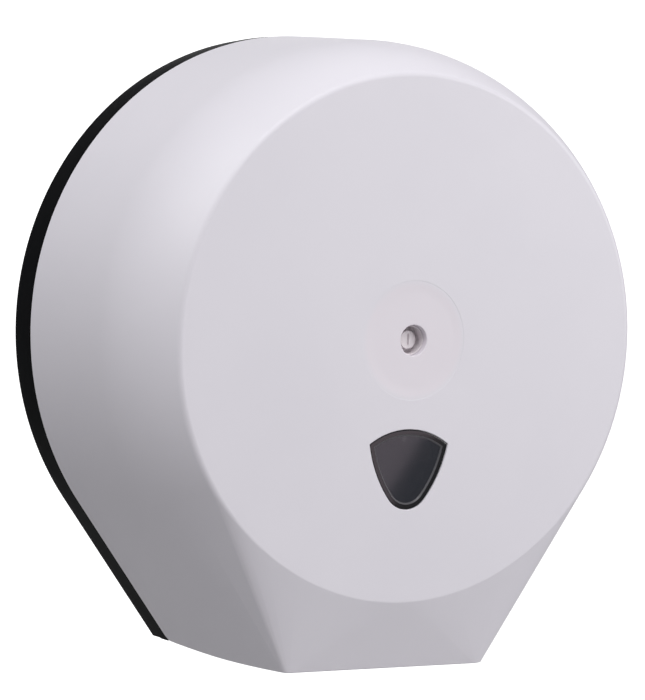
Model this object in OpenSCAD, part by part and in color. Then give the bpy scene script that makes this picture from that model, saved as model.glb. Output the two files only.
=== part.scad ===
// Jumbo toilet roll dispenser: a wall base with a spindle and tear bars, a turning core hub,
// and a moulded cover with a window and a central lock, hinged at the bottom.
// Frame: X to the right, Y into the wall, Z up. The origin is on the roll axis at the wall,
// so a depth of d lies at y = -d and the front faces -Y.

/* [Body] */
// Width of the round body at the wall
body_w = 320; // [300:1:360]
// Depth from the wall to the front disc
body_d = 145; // [140:1:160]
// Roll axis to the bottom edge
foot_drop = 173; // [168:1:185]
// Width of the bottom edge where the cover meets the base
foot_w = 137; // [128:1:150]
// How far each side of the foot bows out beyond that width
foot_bow = 2.2; // [0:0.1:4]
// Where the foot is widest, as a share of the way from the rear edge to the nose
foot_bow_at = 0.44; // [0.3:0.02:0.6]
// How far the bottom front edge lies behind the front disc
nose_set = 13; // [7:1:19]
// Width of the bottom front edge
nose_w = 121.4; // [116:0.2:130]
// Draft of the round side, in degrees
draft = 2.5; // [0.5:0.1:4]
// Depth of the shoulder, from the front disc back to the straight side
shoulder_h = 53; // [45:1:65]
// Radius of the shoulder's arc
shoulder_r = 99.5; // [90:0.5:110]
// Radius that softens the edge of the front disc
crease_r = 4; // [2:0.5:8]
// Wall of the cover
cover_wall = 3; // [2:0.1:3.4]

/* [Base] */
// Depth of the base's rim
base_d = 19.6; // [17:0.2:22]
// Wall of the rim
rim_wall = 3; // [2.4:0.1:4]
// How far the rim stays inside the cover's surface
rim_inset = 0.1; // [0.1:0.1:0.4]
// Floor of the base
floor_t = 3; // [2.4:0.1:4]
// Radius by which the rim's rear band steps in
rim_step = 0.7; // [0:0.1:1.2]
// Depth of the rim's rear band
rim_band_d = 10; // [6:0.5:12]
// Gap between the rim and the cover's rear edge
parting_gap = 0.4; // [0.3:0.1:1]
// Height of the locating lip in front of the rim
lip_h = 3.9; // [2:0.1:5]
// Wall of the locating lip
lip_wall = 1.6; // [1.2:0.1:2.2]
// Gap between the locating lip and the cover
lip_gap = 0.5; // [0.3:0.1:1]
// Distance of the lip's ledge behind the rim's front edge
lip_ledge = 0.6; // [0.4:0.1:1]
// Angle by which the lip runs on below the roll axis at each side
lip_below = 10; // [0:1:15]
// Height of the floor's ring rib
rib_h = 4; // [3:0.5:6]
// Thickness of the floor's ribs
rib_t = 2.5; // [1.5:0.1:3]
// Radius of the floor's ring rib
ring_rib_r = 92; // [80:1:94]
// Number of spoke ribs
spokes = 8; // [4:1:12]
// How far the spokes' tops lie below the ring rib's
spoke_drop = 0.5; // [0.3:0.1:1]
// Floor left behind the blind screw holes
blind_floor = 1; // [0.8:0.1:1.4]

/* [Wall screw holes] */
// Distance between the holes across
wall_hole_x = 180; // [150:1:190]
// Distance between the holes up and down
wall_hole_z = 130; // [110:1:150]
// Diameter of each hole
wall_hole_dia = 6; // [5:0.1:7]
// Diameter of the pad round each hole
wall_pad_dia = 20; // [16:1:24]
// Height of each pad above the floor
wall_pad_h = 2; // [1:0.5:3]

/* [Spindle and hub] */
// Outer diameter of the spindle
spindle_dia = 34; // [32:0.5:36]
// Wall of the spindle
spindle_wall = 4; // [3.5:0.1:4.5]
// Diameter of the spindle's flange
flange_dia = 66; // [62:1:72]
// Thickness of the spindle's flange
flange_t = 4; // [3:0.5:5]
// Height of the pad under the flange
seat_h = 3; // [2:0.5:4]
// Margin of that pad round the flange
seat_margin = 3; // [2:0.5:5]
// Pitch circle of the spindle's screws
flange_pcd = 52; // [48:1:54]
// Thickness of the washer behind the hub
washer_t = 1.5; // [1:0.1:2]
// Diameter of the washer
washer_dia = 44; // [40:1:48]
// Outer diameter of the hub, which a roll's core slides over
hub_dia = 42; // [41:0.5:43]
// Diameter of the hub's rear flange, which the roll rests against
hub_flange_dia = 90; // [76:1:100]
// Thickness of the hub's rear flange
hub_flange_t = 3; // [2:0.5:4]
// Length of the taper at the hub's front end
taper_l = 6; // [4:0.5:8]
// How far the hub narrows over its taper, in radius
taper_in = 1.2; // [0.6:0.1:2]
// Radial clearance between the hub and the spindle
bearing_gap = 0.05; // [0.03:0.01:0.1]
// Free play along an axis
end_play = 0.3; // [0.3:0.05:0.6]
// Thickness of the strike plate
strike_t = 2.5; // [2:0.1:3]
// Diameter of the strike plate
strike_dia = 39; // [38:0.5:40]
// Distance of the strike plate's screws from the axis
strike_screw_x = 14.6; // [14.4:0.1:15]
// Depth of those screws' holes in the spindle
strike_screw_l = 9; // [7:0.5:12]
// Wall round those screws' holes
screw_boss_wall = 2.6; // [2:0.1:3]

/* [Lock] */
// Diameter of the shallow dish round the lock
dish_dia = 62; // [54:1:70]
// Depth of the dish
dish_h = 0.5; // [0.4:0.1:1.2]
// Margin of the thicker wall behind the dish
dish_margin = 2; // [1:0.5:4]
// Extra thickness of the wall behind the dish
dish_back = 1.5; // [1:0.1:2]
// Diameter of the lock's hole in the cover
lock_hole_dia = 16; // [15:0.5:17]
// Depth of the barrel's ring below the dish
lock_ring_h = 3; // [2:0.1:3.4]
// Depth of the plug's face below the ring
plug_face_h = 2.4; // [1.5:0.1:3]
// Wall of the barrel's ring round its mouth
ring_wall = 0.7; // [0.5:0.1:1]
// Radial gap between the barrel and its hole in the cover
barrel_gap = 0.1; // [0.05:0.05:0.2]
// Diameter of the plug's head
plug_head_dia = 9.4; // [9.2:0.1:10]
// Thickness of the plug's head
plug_head_t = 4; // [3:0.1:4.5]
// Diameter of the plug's shank
plug_dia = 8.4; // [7.8:0.1:8.6]
// Radial clearance between the plug and the barrel
plug_gap = 0.05; // [0.03:0.01:0.1]
// Outer diameter of the barrel behind its flange
barrel_dia = 17; // [17:0.5:20]
// Diameter of the barrel's flange
barrel_flange_dia = 36; // [34:0.5:38]
// Thickness of the barrel's flange
barrel_flange_t = 2.5; // [2:0.1:3]
// Length of the barrel behind the boss it seats on
barrel_tail_l = 13.5; // [12:0.5:16]
// Space between the plug's collar and the strike plate
lock_space = 5.7; // [4:0.1:8]
// Height of the boss that the barrel's flange seats on
lock_boss_h = 4; // [3:0.5:5]
// Margin of that boss round the barrel's flange
boss_margin = 1; // [0.5:0.5:2]
// Distance of the barrel's screws from the axis
barrel_screw_x = 13; // [12.5:0.1:13.5]
// Diameter of the plug's tail
tail_dia = 6; // [5:0.5:6.5]
// Width of the key slot
key_slot_w = 1.2; // [1:0.1:2]
// Length of the key slot
key_slot_l = 6; // [5:0.5:7]
// Depth of the key slot
key_slot_h = 0.8; // [0.6:0.1:1.4]
// Side of the square that turns the cam
square_w = 4; // [3.6:0.1:4.2]
// Diameter of the clip in the plug's groove
plug_clip_dia = 12.6; // [11:0.1:14]
// Thickness of the clip in the plug's groove
clip_t = 1; // [0.8:0.1:1.2]
// Width of the mouth of that clip
clip_mouth_w = 4.8; // [4:0.1:5.4]
// How far the groove's floor lies outside the tail
groove_step = 0.4; // [0.2:0.1:0.6]
// Thickness of the collar behind the groove
collar_t = 1; // [0.8:0.1:1.2]
// Length of the cam from tip to tip
cam_l = 17; // [16:0.5:18]
// Width of the cam
cam_w = 6; // [5:0.5:6.5]
// Thickness of the cam
cam_t = 2.6; // [2:0.1:3]
// How far the cam stands proud of the square, so that its screw clamps it
cam_proud = 0.2; // [0.1:0.1:0.4]
// Length of the cam's screw
cam_screw_l = 8; // [6:0.5:9]
// Clearance each side of the cam in the strike plate's slot
slot_gap = 1; // [0.8:0.1:1.4]
// Extra length of the slot below the cam, for the cover's swing
slot_swing = 4; // [3.5:0.1:4.5]

/* [Window] */
// Width across the window's upper corners
win_w = 47.8; // [42:0.2:52]
// Roll axis to the top of the window's arched upper edge
win_top = 46.4; // [42:0.2:50]
// Rise of the upper edge between its corners
win_rise = 7.6; // [6:0.1:9]
// Roll axis to the window's tip
win_tip = 87.8; // [84:0.2:92]
// Radius of the window's tip
win_tip_r = 14; // [11:0.5:15]
// Radius of the window's sides
win_side_r = 65; // [55:1:80]
// Gap round the lens in its opening
lens_gap = 0.2; // [0.1:0.05:0.3]
// How far the lens's face lies below the disc
lens_sink = 0.5; // [0:0.1:1]
// Width of the lens's flange behind the disc
lens_flange_w = 6; // [5:0.5:7]
// Thickness of the lens's flange
lens_flange_t = 1.6; // [1.2:0.1:2]
// Distance of the upper posts from the middle
post_x = 15; // [10:0.5:18]
// Diameter of the posts that hold the lens
post_dia = 3; // [2.4:0.1:3.4]
// Height of the posts behind the disc
post_h = 4.5; // [4:0.1:6]
// How far the posts stand outside the middle of the lens's flange
post_offset = 0.3; // [0:0.1:0.5]
// Diameter of the push-on clips on the posts
clip_dia = 6.8; // [5.6:0.1:7.4]
// Thickness of the push-on clips
push_clip_t = 0.8; // [0.5:0.1:1]

/* [Hinge] */
// Distance of the hinge axis in front of the cover's rear edge, and above its bottom edge
hinge_inset = 4; // [3.6:0.1:5]
// Diameter of the hinge pins
pin_dia = 4; // [3:0.5:4]
// Radial clearance between the pins and the cover
pin_gap = 0.05; // [0.03:0.01:0.1]
// Distance of the lugs' inner faces from the middle
lug_x = 60; // [58:0.5:61]
// Thickness of each lug
lug_t = 4; // [3:0.5:4.5]
// How much smaller the lugs are than the ears, in radius
lug_relief = 0.2; // [0.1:0.1:0.5]
// Gap between a lug and the cover's ear
ear_gap = 0.4; // [0.3:0.1:1]
// How far each pin reaches into the cover's ear
pin_reach = 3.6; // [3:0.1:3.8]
// Free space beyond the end of each pin in the ear
pin_end_gap = 0.4; // [0.3:0.1:0.6]
// Height of the ears above the hinge axis
ear_h = 14; // [10:1:20]
// Diameter of the pins' heads
pin_head_dia = 6.4; // [5.6:0.1:7]
// Thickness of the pins' heads
pin_head_t = 1.5; // [1:0.1:2]

/* [Tear bars] */
// Distance between the tear bars, which is the width of the paper exit
exit_w = 108; // [96:1:110]
// Thickness of each bar
bar_t = 3; // [2.4:0.1:3.4]
// Height of each bar
bar_h = 13.5; // [12:0.5:16]
// Distance of the bars' front ends behind the bottom front edge
bar_front_gap = 14; // [12:0.5:24]
// Gap between a bar and the rim below it
bar_gap = 0.5; // [0.3:0.1:1]
// Height of the teeth
tooth_h = 2.5; // [1.5:0.1:2.8]
// Distance from tooth to tooth
tooth_pitch = 4; // [3:0.5:6]
// Distance of the first tooth from the cover's rear edge
tooth_start = 2; // [1:0.5:6]
// Plain length at the bars' front ends
tooth_end = 4; // [3:0.5:8]
// Corner taken off the bars' front ends
bar_chamfer = 2; // [1:0.5:3]
// Height of the pad under each bar's foot
bar_pad_h = 5; // [4:0.5:6]
// Length of each bar's foot
bar_foot_l = 17; // [16:0.5:20]
// Thickness of each bar's foot
bar_foot_t = 3; // [2.5:0.1:4]
// Distance of the foot's screws from its ends
bar_screw_inset = 4.4; // [4:0.1:4.6]

/* [Screws] */
// Shank diameter of the larger screws
screw_dia = 3.5; // [3:0.1:4]
// Head diameter of the larger screws
screw_head_dia = 6.6; // [6:0.1:7.6]
// Head height of the larger screws
screw_head_h = 2.2; // [1.8:0.1:2.6]
// Shank diameter of the smaller screws
small_screw_dia = 2.4; // [2:0.1:2.6]
// Head diameter of the smaller screws
small_head_dia = 4.6; // [4:0.1:5]
// Head height of the smaller screws
small_head_h = 1.6; // [1.2:0.1:2]
// Clearance round a screw in its hole
screw_gap = 0.05; // [0.02:0.01:0.1]
// Clearance round a screw's head in its counterbore
head_gap = 0.2; // [0.1:0.1:0.4]
// Free depth beyond a screw's end in its hole
screw_end_gap = 0.5; // [0.3:0.1:0.8]
// Length of the cross recess over the head's radius
recess_l = 1.2; // [1:0.1:1.4]
// Width of the cross recess over the head's radius
recess_w = 0.24; // [0.2:0.02:0.3]

/* [Hidden] */

white = "#dcdbe0";
black = "#17181b";
smoke = "#35363b";
grey = "#8b8d92";
steel = "#b9bcc0";

$fn = 48;
// Angle between the points of a round outline
turn_step = 5;
// Number of steps along each curve
arc_steps = 7;
inner_arc_steps = 6;
crease_steps = 4;
foot_steps = 9;
outline_steps = 52;
window_top_steps = 6;
window_side_steps = 8;
window_tip_steps = 5;
// How far a cutting shape runs past the surface it cuts
past = 1;
// A length that reaches past the whole part
far = 2 * foot_drop;

// The round side and its shoulder
body_r = body_w / 2;
shoulder_d = body_d - shoulder_h;
nose_d = body_d - nose_set;
function side_r(d) = body_r - d * tan(draft);
cover_rear_d = base_d + parting_gap;
rim_r = side_r(base_d) - rim_inset;
// Centre of the shoulder's arc, as [radius, depth]
arc_c = [side_r(shoulder_d) - shoulder_r * cos(draft), shoulder_d - shoulder_r * sin(draft)];
// Angle along the shoulder's arc at which its surface reaches a depth
function arc_turn(r, d) = asin((d - arc_c[1]) / r);
// Where the shoulder turns into the crease's small arc
crease_turn = asin((body_d - crease_r - arc_c[1]) / (shoulder_r - crease_r));
crease_c = [arc_c[0] + (shoulder_r - crease_r) * cos(crease_turn), body_d - crease_r];
function arc_points(c, r, from, to, n) =
    [for (i = [0 : n]) let (a = from + (to - from) * i / n) [c[0] + r * cos(a), c[1] + r * sin(a)]];
outer_profile = concat([[side_r(cover_rear_d), cover_rear_d]],
    arc_points(arc_c, shoulder_r, draft, crease_turn, arc_steps),
    arc_points(crease_c, crease_r, crease_turn, 90, crease_steps));
inner_r = shoulder_r - cover_wall;
inner_d = body_d - cover_wall;
inner_profile = concat([[side_r(0) - cover_wall / cos(draft), 0]],
    arc_points(arc_c, inner_r, draft, arc_turn(inner_r, inner_d), inner_arc_steps));

// The foot: straight sides run from the round body to the bottom edge
foot_half = foot_w / 2;
nose_half = nose_w / 2;
foot_turn = acos(side_r(cover_rear_d) / norm([foot_half, foot_drop])) - atan2(foot_drop, foot_half);
side_slope = -tan(foot_turn);
// Depth at which the foot is widest
bow_d = cover_rear_d + (nose_d - cover_rear_d) * foot_bow_at;
function foot_x(d) = d < bow_d
    ? foot_half + foot_bow * (1 - pow((bow_d - d) / (bow_d - cover_rear_d), 2))
    : foot_half + foot_bow - (foot_half + foot_bow - nose_half) * pow((d - bow_d) / (nose_d - bow_d), 2);
foot_depths = [for (i = [0 : foot_steps]) cover_rear_d + (nose_d - cover_rear_d) * i / foot_steps];
// Depth gained for each millimetre up the chute's front
chute_slope = (body_d - nose_d) / (foot_drop - crease_c[0]);
wall_x = cover_wall / cos(foot_turn);
wall_d = cover_wall * norm([1, chute_slope]);
// The cavity runs this far below the bottom edge
through = 10;

function ring_points(r, d) = [for (a = [0 : turn_step : 359]) [r * cos(a), -d, r * sin(a)]];
function foot_points(inset_x, inset_d, drop) =
    [for (d = foot_depths) for (s = [-1, 1])
        [s * (foot_x(d) - inset_x), -(d - inset_d * (d - cover_rear_d) / (nose_d - cover_rear_d)), -drop]];
outer_points = concat([for (p = outer_profile) each ring_points(p[0], p[1])],
    foot_points(0, 0, foot_drop));
inner_points = concat([for (p = inner_profile) each ring_points(p[0], p[1])],
    [for (s = [-1, 1]) [s * (foot_half - wall_x - through * side_slope), 0, -foot_drop - through]],
    foot_points(wall_x + through * side_slope, wall_d + through * chute_slope, foot_drop + through));

// Hinge
hinge_d = cover_rear_d + hinge_inset;
hinge_drop = foot_drop - hinge_inset;
lug_r = hinge_inset - lug_relief;
ear_x = lug_x + lug_t + ear_gap;
ear_end_x = ear_x + pin_reach + pin_end_gap;

// Depths along the axis, from the front disc back through the lock to the spindle's end
dish_d = body_d - dish_h;
boss_d = inner_d - lock_boss_h;
ring_face_d = dish_d - lock_ring_h;
plug_face_d = ring_face_d - plug_face_h;
plug_seat_d = plug_face_d - plug_head_t;
mouth_d = plug_seat_d - end_play;
barrel_end_d = boss_d - barrel_tail_l;
clip_front_d = barrel_end_d - end_play;
clip_rear_d = clip_front_d - clip_t;
strike_front_d = clip_rear_d - collar_t - lock_space;
spindle_d = strike_front_d - strike_t;
hub_front_d = spindle_d - end_play;
cam_front_d = spindle_d - end_play;
cam_rear_d = cam_front_d - cam_t;

// Depths along the axis, from the wall to the hub's rear
seat_d = floor_t + seat_h;
flange_d = seat_d + flange_t;
washer_d = flange_d + washer_t;
hub_rear_d = washer_d + end_play;

spindle_r = spindle_dia / 2;
bore_r = spindle_r - spindle_wall;
seat_r = flange_dia / 2 + seat_margin;
hub_r = hub_dia / 2;
screw_r = screw_dia / 2;
small_screw_r = small_screw_dia / 2;
barrel_r = lock_hole_dia / 2 - barrel_gap;
mouth_r = barrel_r - ring_wall;
plug_r = plug_dia / 2;
tail_r = tail_dia / 2;
groove_r = tail_r + groove_step;

// Tear bars
bar_x = exit_w / 2;
bar_bottom = foot_drop - rim_wall - bar_gap;
bar_top = bar_bottom - bar_h;
bar_end_d = nose_d - bar_front_gap;
bar_rear_d = floor_t + bar_pad_h;
bar_foot_d = bar_rear_d + bar_foot_t;
bar_screw_drop = bar_top + bar_h / 2;
bar_screw_x = [bar_x - bar_foot_l + bar_screw_inset, bar_x - bar_screw_inset];

// Window outline, in X and Z
win_half = win_w / 2;
win_corner_z = -win_top - win_rise;
tip_c = [0, -win_tip + win_tip_r];
top_r = (pow(win_half, 2) + pow(win_rise, 2)) / (2 * win_rise);
top_c = [0, -win_top - top_r];
post_r = post_dia / 2;
flange_rear_d = inner_d - lens_flange_t;

// A solid whose depth runs from one value to another, drawn as a plane outline in X and Z
module slab(from, to) {
    translate([0, -from, 0]) rotate([90, 0, 0]) linear_extrude(to - from) children();
}

// The convex solid that just holds a list of points
module hull_of(points) {
    hull() polyhedron(points = points, faces = [for (i = [0 : len(points) - 3]) [i, i + 1, i + 2]]);
}

// A round bar or bore along the depth
module rod(r, from, to, x = 0, z = 0) {
    translate([x, -from, z]) rotate([90, 0, 0]) cylinder(r = r, h = to - from);
}

module ring(r_out, r_in, from, to) {
    difference() {
        rod(r_out, from, to);
        rod(r_in, from - past, to + past);
    }
}

// A screw whose head seats at a depth and whose shank runs towards the wall
module screw(r, head_r, head_h, l, seat, x, z) {
    difference() {
        union() {
            rod(r, seat - l, seat + head_h / 2, x, z);
            rod(head_r, seat, seat + head_h, x, z);
        }
        for (a = [0, 90])
            translate([x, -seat - head_h, z]) rotate([0, a, 0])
                cube([head_r * recess_l, head_h, head_r * recess_w], center = true);
    }
}

module big_screw(seat, l, x, z) {
    screw(screw_r, screw_head_dia / 2, screw_head_h, l, seat, x, z);
}

module small_screw(seat, l, x, z) {
    screw(small_screw_r, small_head_dia / 2, small_head_h, l, seat, x, z);
}

// The front view of the body: a round top and two straight sides down to a flat foot
module body_outline(r, half, drop) {
    turn = acos(r / norm([half, drop])) - atan2(drop, half);
    span = 180 - 2 * turn;
    round_part = [for (i = [0 : outline_steps]) let (a = turn + span * i / outline_steps)
        [r * cos(a), r * sin(a)]];
    polygon(concat(round_part, [[-half, -drop], [half, -drop]]));
}

// The same outline drawn in by a wall, with a flat foot of its own
module inset_outline(r, half, drop, wall) {
    turn = acos(r / norm([half, drop])) - atan2(drop, half);
    body_outline(r - wall, half - wall * (1 + sin(turn)) / cos(turn), drop - wall);
}

module spindle_screw_places() {
    for (a = [45 : 90 : 315])
        translate([flange_pcd / 2 * cos(a), 0, flange_pcd / 2 * sin(a)]) children();
}

module wall_hole_places() {
    for (x = [-1, 1]) for (z = [-1, 1])
        translate([x * wall_hole_x / 2, 0, z * wall_hole_z / 2]) children();
}

module floor_ribs() {
    rib_d = floor_t + rib_h;
    spoke_d = rib_d - spoke_drop;
    ring(ring_rib_r, ring_rib_r - rib_t, floor_t - past, rib_d);
    for (i = [0 : spokes - 1])
        rotate([0, (i + 0.5) * 360 / spokes, 0])
            translate([seat_r - past, -spoke_d, -rib_t / 2])
                cube([ring_rib_r - rib_t / 2 - seat_r + past, spoke_d - floor_t + past, rib_t]);
}

// The lip that guides the cover's upper half onto the rim
module locating_lip() {
    r = side_r(cover_rear_d) - cover_wall / cos(draft) - lip_gap;
    rotate([90, 0, 0]) rotate([0, 0, -lip_below]) rotate_extrude(angle = 180 + 2 * lip_below)
        polygon([[r - lip_wall, base_d - lip_h], [rim_r - rim_wall + past / 2, base_d - lip_h],
            [rim_r - rim_wall + past / 2, base_d - lip_ledge], [r, base_d - lip_ledge],
            [r, base_d + lip_h], [r - lip_wall, base_d + lip_h]]);
}

module hinge_lug(side) {
    x = side > 0 ? lug_x : -lug_x - lug_t;
    translate([x, 0, 0]) {
        translate([0, -hinge_d, -hinge_drop]) rotate([0, 90, 0]) cylinder(r = lug_r, h = lug_t);
        translate([0, -hinge_d, -hinge_drop - lug_r]) cube([lug_t, hinge_d - floor_t / 2, 2 * lug_r]);
    }
}

// The pad that a tear bar's foot is screwed to; side is 1 on the right
module bar_pad(side) {
    x = side > 0 ? bar_x - bar_foot_l : -bar_x;
    translate([x, -bar_rear_d, -foot_drop + rim_wall / 2])
        cube([bar_foot_l, bar_pad_h + past, bar_h + rim_wall / 2 + bar_gap]);
}

module back_plate() {
    color(black) difference() {
        union() {
            difference() {
                union() {
                    slab(0, rim_band_d) body_outline(rim_r - rim_step, foot_half - rim_step, foot_drop);
                    slab(rim_band_d, base_d) body_outline(rim_r, foot_half, foot_drop);
                }
                slab(floor_t, base_d + past) inset_outline(rim_r, foot_half, foot_drop, rim_wall);
            }
            floor_ribs();
            rod(seat_r, floor_t - past, seat_d);
            wall_hole_places() rod(wall_pad_dia / 2, floor_t - past, floor_t + wall_pad_h);
            for (s = [-1, 1]) {
                hinge_lug(s);
                bar_pad(s);
            }
            locating_lip();
        }
        wall_hole_places() rod(wall_hole_dia / 2, -past, floor_t + wall_pad_h + past);
        spindle_screw_places() rod(screw_r + screw_gap, blind_floor, seat_d + past);
        for (s = [-1, 1]) for (x = bar_screw_x)
            rod(screw_r + screw_gap, blind_floor, bar_rear_d + past, s * x, -bar_screw_drop);
        translate([0, -hinge_d, -hinge_drop]) rotate([0, 90, 0])
            cylinder(r = pin_dia / 2 + screw_gap, h = 2 * (lug_x + lug_t + past), center = true);
    }
}

module spindle() {
    color(grey) difference() {
        union() {
            rod(flange_dia / 2, seat_d, flange_d);
            difference() {
                rod(spindle_r, flange_d - past, spindle_d);
                rod(bore_r, flange_d, spindle_d + past);
            }
            intersection() {
                rod(spindle_r, flange_d - past, spindle_d);
                for (s = [-1, 1])
                    rod(small_screw_r + screw_boss_wall, flange_d - past, spindle_d, s * strike_screw_x);
            }
        }
        spindle_screw_places() rod(screw_r + screw_gap, seat_d - past, flange_d + past);
        spindle_screw_places() rod(screw_head_dia / 2 + head_gap, flange_d - screw_head_h, flange_d + past);
        for (s = [-1, 1])
            rod(small_screw_r + screw_gap, spindle_d - strike_screw_l, spindle_d + past, s * strike_screw_x);
    }
}

module spindle_screws() {
    seat = flange_d - screw_head_h;
    color(steel) spindle_screw_places() big_screw(seat, seat - blind_floor - screw_end_gap, 0, 0);
}

module hub_washer() {
    color(steel) ring(washer_dia / 2, spindle_r + bearing_gap, flange_d, washer_d);
}

module core_hub() {
    color("#c9cacd") difference() {
        rotate([90, 0, 0]) rotate_extrude()
            polygon([[0, hub_rear_d], [hub_flange_dia / 2, hub_rear_d],
                [hub_flange_dia / 2, hub_rear_d + hub_flange_t], [hub_r, hub_rear_d + hub_flange_t],
                [hub_r, hub_front_d - taper_l], [hub_r - taper_in, hub_front_d], [0, hub_front_d]]);
        rod(spindle_r + bearing_gap, hub_rear_d - past, hub_front_d + past);
    }
}

module strike_plate() {
    slot_half = cam_w / 2 + slot_gap;
    slot_top = cam_l / 2 + slot_gap;
    slot_bottom = cam_l / 2 + slot_swing;
    color(steel) difference() {
        rod(strike_dia / 2, spindle_d, strike_front_d);
        translate([-slot_half, -strike_front_d - past, -slot_bottom])
            cube([2 * slot_half, strike_t + 2 * past, slot_top + slot_bottom]);
        for (s = [-1, 1])
            rod(small_screw_r + screw_gap, spindle_d - past, strike_front_d + past, s * strike_screw_x);
    }
}

module strike_screws() {
    color(steel) for (s = [-1, 1])
        small_screw(strike_front_d, strike_t + strike_screw_l - screw_end_gap, s * strike_screw_x, 0);
}

// One toothed bar with its foot; side is 1 on the right
module tear_bar(side) {
    mirror([side > 0 ? 0 : 1, 0, 0]) color(grey) difference() {
        union() {
            translate([bar_x, -bar_end_d, -bar_bottom]) cube([bar_t, bar_end_d - bar_rear_d, bar_h]);
            translate([bar_x - bar_foot_l, -bar_foot_d, -bar_bottom])
                cube([bar_foot_l + bar_t / 2, bar_foot_t, bar_h]);
            teeth();
        }
        for (x = bar_screw_x)
            rod(screw_r + screw_gap, bar_rear_d - past, bar_foot_d + past, x, -bar_screw_drop);
        // The front end's lower corner is taken off
        translate([bar_x + bar_t / 2, -bar_end_d, -bar_bottom]) rotate([45, 0, 0])
            cube([bar_t + 2 * past, bar_chamfer * sqrt(2), bar_chamfer * sqrt(2)], center = true);
    }
}

// The row of teeth along a bar's lower edge, as one outline in depth and height
module teeth() {
    from = cover_rear_d + tooth_start;
    count = floor((bar_end_d - tooth_end - from) / tooth_pitch);
    to = from + count * tooth_pitch;
    points = concat([[from, past]],
        [for (i = [0 : count - 1]) let (d = from + i * tooth_pitch)
            each [[d, 0], [d + tooth_pitch / 2, -tooth_h]]],
        [[to, 0], [to, past]]);
    translate([bar_x + bar_t, 0, -bar_bottom]) rotate([90, 0, -90])
        linear_extrude(bar_t) polygon(points);
}

module tear_bar_left() {
    tear_bar(-1);
}

module tear_bar_right() {
    tear_bar(1);
}

module tear_bar_screws() {
    l = bar_foot_d - blind_floor - screw_end_gap;
    color(steel) for (s = [-1, 1]) for (x = bar_screw_x)
        big_screw(bar_foot_d, l, s * x, -bar_screw_drop);
}

// One headed pin, fast in its lug and turning in the cover's ear
module hinge_pin(side) {
    color(steel) mirror([side > 0 ? 0 : 1, 0, 0]) translate([0, -hinge_d, -hinge_drop]) rotate([0, 90, 0]) {
        translate([0, 0, lug_x - pin_head_t]) cylinder(r = pin_head_dia / 2, h = pin_head_t);
        translate([0, 0, lug_x - pin_head_t / 2])
            cylinder(r = pin_dia / 2, h = pin_head_t / 2 + lug_t + ear_gap + pin_reach);
    }
}

module hinge_pin_left() {
    hinge_pin(-1);
}

module hinge_pin_right() {
    hinge_pin(1);
}

// The window's shield outline, grown or shrunk by an amount
module shield(grow) {
    // Centre of the right side's arc, which runs through the corner and is tangent to the tip's arc
    corner = [win_half, win_corner_z];
    span = norm(corner - tip_c);
    along = (pow(win_side_r, 2) - pow(win_side_r - win_tip_r, 2) + pow(span, 2)) / (2 * span);
    across = sqrt(pow(win_side_r, 2) - pow(along, 2));
    u = (tip_c - corner) / span;
    side_c = corner + along * u + across * [u[1], -u[0]];
    join = atan2(tip_c[1] - side_c[1], tip_c[0] - side_c[0]);
    corner_a = atan2(corner[1] - side_c[1], corner[0] - side_c[0]);
    half_top = asin(win_half / top_r);
    right = concat(
        [for (i = [0 : window_top_steps]) let (a = 90 - half_top * i / window_top_steps)
            top_c + (top_r + grow) * [cos(a), sin(a)]],
        [for (i = [0 : window_side_steps]) let (a = corner_a + (join - corner_a) * i / window_side_steps)
            side_c + (win_side_r + grow) * [cos(a), sin(a)]],
        [for (i = [1 : window_tip_steps]) let (a = join + (-90 - join) * i / window_tip_steps)
            tip_c + (win_tip_r + grow) * [cos(a), sin(a)]]);
    left = [for (i = [len(right) - 2 : -1 : 1]) [-right[i][0], right[i][1]]];
    polygon(concat(right, left));
}

// Where the lens's posts stand: two above the window and one below its tip
module post_places() {
    reach = lens_flange_w / 2 + post_offset;
    for (s = [-1, 1])
        translate([s * post_x, 0, top_c[1] + sqrt(pow(top_r + reach, 2) - pow(post_x, 2))]) children();
    translate([0, 0, -win_tip - reach]) children();
}

// The cover's ear: a round boss and a gusset inside the side wall, trimmed by the wall's slope
module cover_ear(side) {
    mirror([side > 0 ? 0 : 1, 0, 0]) difference() {
        translate([ear_x, -hinge_d, -hinge_drop]) rotate([0, 90, 0]) union() {
            cylinder(r = hinge_inset, h = foot_half);
            translate([-ear_h, -hinge_inset, 0]) cube([ear_h, 2 * hinge_inset, foot_half]);
        }
        // Everything outside the middle of the side wall
        rotate([0, -foot_turn, 0])
            translate([side_r(cover_rear_d) - cover_wall / 2, -far / 2, -far]) cube([far, far, 2 * far]);
    }
}

// Cuts the rear corner at the bottom to a curve round the hinge axis
module rolling_corner() {
    translate([0, -hinge_d, -hinge_drop]) rotate([0, 90, 0]) difference() {
        translate([0, 0, -foot_w]) cube([hinge_inset + past, hinge_inset + past, 2 * foot_w]);
        cylinder(r = hinge_inset, h = 2 * foot_w + past, center = true);
    }
}

module front_cover() {
    color(white) difference() {
        union() {
            difference() {
                hull_of(outer_points);
                hull_of(inner_points);
            }
            rod(dish_dia / 2 + dish_margin, inner_d - dish_back, inner_d + past);
            rod(barrel_flange_dia / 2 + boss_margin, boss_d, inner_d + past);
            post_places() rod(post_r, inner_d - post_h, inner_d + past);
            for (s = [-1, 1]) cover_ear(s);
        }
        rod(dish_dia / 2, dish_d, body_d + past);
        rod(lock_hole_dia / 2, boss_d - past, body_d + past);
        slab(inner_d - past, body_d + past) shield(lens_gap);
        for (s = [-1, 1])
            rod(small_screw_r + screw_gap, boss_d - past, boss_d + lock_boss_h, s * barrel_screw_x);
        translate([0, -hinge_d, -hinge_drop]) rotate([0, 90, 0])
            cylinder(r = pin_dia / 2 + pin_gap, h = 2 * ear_end_x, center = true);
        rolling_corner();
    }
}

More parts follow.
